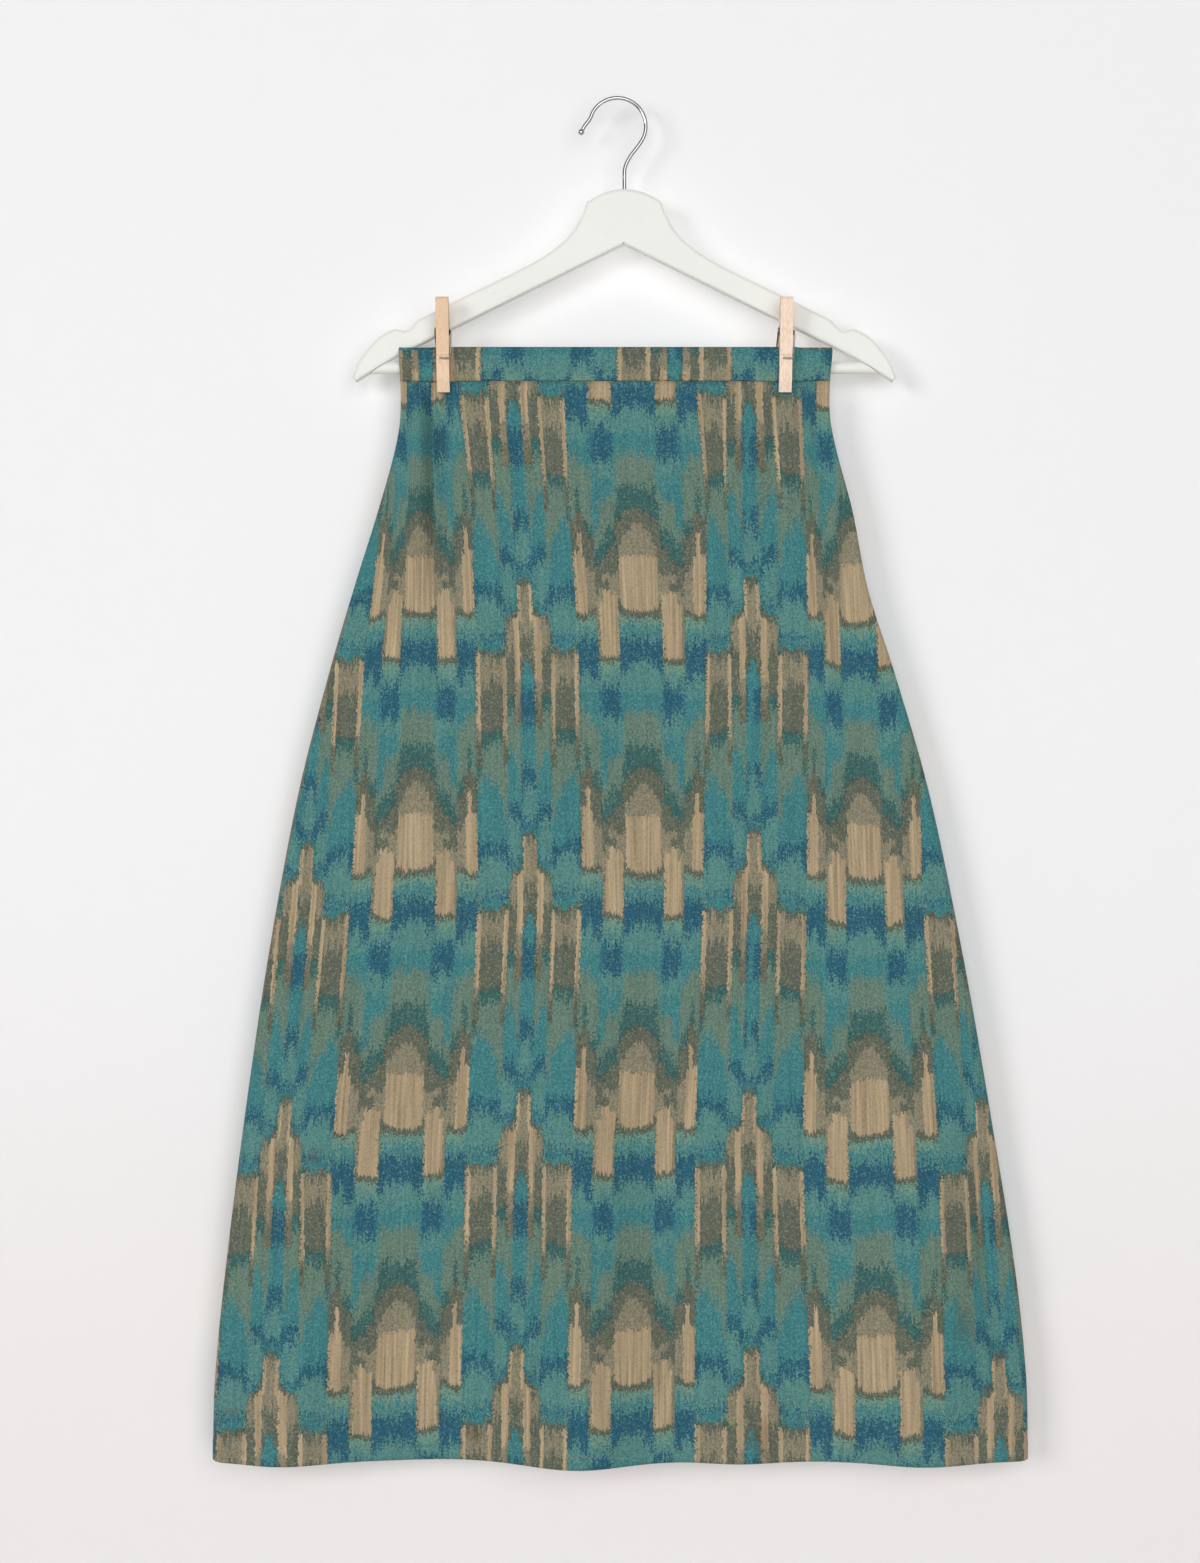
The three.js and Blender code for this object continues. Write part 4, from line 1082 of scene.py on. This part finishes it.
def bend_wire(name, points, radius):
    """Round wire along a smooth line through points in millimetres."""
    data = bpy.data.curves.new(name, "CURVE")
    data.dimensions = "3D"
    data.bevel_depth = radius / 1000
    data.bevel_resolution = 4
    data.resolution_u = 8
    data.use_fill_caps = True
    line = data.splines.new("BEZIER")
    line.bezier_points.add(len(points) - 1)
    for knot, spot in zip(line.bezier_points, points):
        knot.co = [c / 1000 for c in spot]
        knot.handle_left_type = "AUTO"
        knot.handle_right_type = "AUTO"
    made = bpy.data.objects.new(name, data)
    bpy.context.collection.objects.link(made)
    return made


centre_z = WIRE_RADIUS - HOOK_RADIUS
hook_points = [(x + HANGER_X, 0, z) for x, z in HOOK_FLICK]
for angle in np.radians(HOOK_ANGLES):
    hook_points.append((HOOK_RADIUS * math.cos(angle), 0, centre_z + HOOK_RADIUS * math.sin(angle)))
hook_points += [(x + HANGER_X, 0, z) for x, z in HOOK_SHANK]
hook = bend_wire("hook_wire", hook_points, WIRE_RADIUS)
hook.data.materials.append(chrome)
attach(hook, "root")
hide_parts("hanger_hook")

tip = bmesh.new()
bmesh.ops.create_uvsphere(tip, u_segments=24, v_segments=16, radius=HOOK_TIP_RADIUS / 1000)
bmesh.ops.translate(tip, verts=tip.verts, vec=[c / 1000 for c in hook_points[0]])
hook_tip = add_object("hook_tip", tip, rounded=True)
hook_tip.data.materials.append(chrome)
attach(hook_tip, "root")

# Pegs. Two like legs each, sawn from pale birch and only sanded, the right peg paler than the left, with fine
# long grain and slightly soft edges. The left peg's upper part is a little darker than its jaws by painted
# shade.
SHADED_HANDLE_Z = -0.204
LINE_LEVEL = 0.55
GRAIN_STRENGTH = 0.35

wood = new_material("peg_wood")
tree = wood.node_tree
place = add_node(tree, "ShaderNodeTexCoord")
sides = add_node(tree, "ShaderNodeSeparateXYZ", {0: place.outputs["Object"]})
on_right = calculate(tree, "GREATER_THAN", sides.outputs[0], 0)
# Painted shade: the left peg's upper part is a little darker than its jaws, for how their faces meet the
# light
handle = calculate(tree, "GREATER_THAN", sides.outputs[2], SHADED_HANDLE_Z)
left_tone_and_shade = mix_colours(tree, handle, colour(236, 208, 180), colour(229, 199, 169))
tone_and_shade = mix_colours(tree, on_right, left_tone_and_shade, colour(247, 225, 208))
fine = noise_at(tree, scale=900, detail=3, stretch=(1, 1, 0.05))
broad = noise_at(tree, scale=240, detail=3, stretch=(1, 1, 0.05))
lines = calculate(tree, "MULTIPLY", calculate(tree, "GREATER_THAN", fine, LINE_LEVEL), GRAIN_STRENGTH)
tone_and_shade = mix_colours(tree, lines, tone_and_shade, colour(206, 168, 128))
tone_and_shade = mix_colours(tree, calculate(tree, "MULTIPLY", broad, GRAIN_STRENGTH), tone_and_shade, colour(222, 186, 146))
soft_edge = add_node(tree, "ShaderNodeBevel", None, {"Radius": 0.0004}, samples=4).outputs[0]
sanded = bump(tree, fine, strength=0.2, distance=0.0002, normal=soft_edge)
add_surface(tree, {"Base Color": tone_and_shade, "Normal": sanded}, {"Roughness": 0.7, "Specular IOR Level": 0.25})
for side in ("left", "right"):
    finish_node(f"peg_{side}_front_leg", wood)
    finish_node(f"peg_{side}_rear_leg", wood)

# Peg springs. Dull zinc-plated wire: a coil between the legs, and at each end an arm that runs down the
# leg's side and crosses its face in a shallow groove.
PEG_WIDTH = 10
LEG_THICK = 6
COIL_ALONG = 47
COIL_Y = -13.91
COIL_Z = -186.5
COIL_RADIUS = 2.55
COIL_TURNS = 7
SPRING_WIRE = 0.7
COIL_OFFSET = 1.5
WIRE_SUNK = 0.8
WIRE_ALONG = 27
WIRE_END = 2.4
WIRE_BEND = 1.2
REAR_LEG_TILT = 30.5
TURN_POINTS = 8

zinc = new_material("spring_wire")
tree = zinc.node_tree
drawn = bump(tree, noise_at(tree, scale=1500, detail=2), strength=0.1, distance=0.0001)
plated = mix_colours(tree, noise_at(tree, scale=400, detail=3), colour(128, 126, 122), colour(178, 175, 168))
add_surface(tree, {"Base Color": plated, "Normal": drawn}, {"Metallic": 1.0, "Roughness": 0.38})


def leg_face(tilt, facing):
    """Depth and height of the spot where the wire crosses a leg's outer face."""
    lean = math.radians(tilt)
    back = WIRE_ALONG - COIL_ALONG
    out = LEG_THICK + COIL_OFFSET + SPRING_WIRE + GAP - WIRE_SUNK
    y = COIL_Y - math.sin(lean) * back - facing * math.cos(lean) * out
    return y, COIL_Z + math.cos(lean) * back - facing * math.sin(lean) * out


def spring_points(middle):
    """One spring's wire: the front arm, the coil from side to side, and the rear arm."""
    side = PEG_WIDTH / 2 + GAP + SPRING_WIRE
    front_y, front_z = leg_face(FRONT_LEG_TILT, 1)
    rear_y, rear_z = leg_face(REAR_LEG_TILT, -1)
    points = [
        (-WIRE_END, front_y, front_z),
        (side - WIRE_BEND, front_y - 0.1, front_z),
        (side, front_y, front_z + 0.9),
        (side, front_y + 0.7, front_z + 4),
    ]
    count = COIL_TURNS * TURN_POINTS
    for i in range(count + 1):
        angle = math.pi + 2 * math.pi * i / TURN_POINTS
        y = COIL_Y + COIL_RADIUS * math.cos(angle)
        points.append((side - 2 * side * i / count, y, COIL_Z + COIL_RADIUS * math.sin(angle)))
    points += [
        (-side, rear_y - 1.6, rear_z + 2.6),
        (-side, rear_y, rear_z + 0.7),
        (-side + WIRE_BEND, rear_y + 0.1, rear_z),
        (WIRE_END, rear_y, rear_z),
    ]
    return [(x + middle + HANGER_X, y, z) for x, y, z in points]


for side, middle in zip(("left", "right"), PEG_ACROSS):
    spring = bend_wire(f"peg_{side}_spring_wire", spring_points(middle), SPRING_WIRE)
    spring.data.materials.append(zinc)
    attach(spring, "root")
    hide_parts(f"peg_{side}_spring")
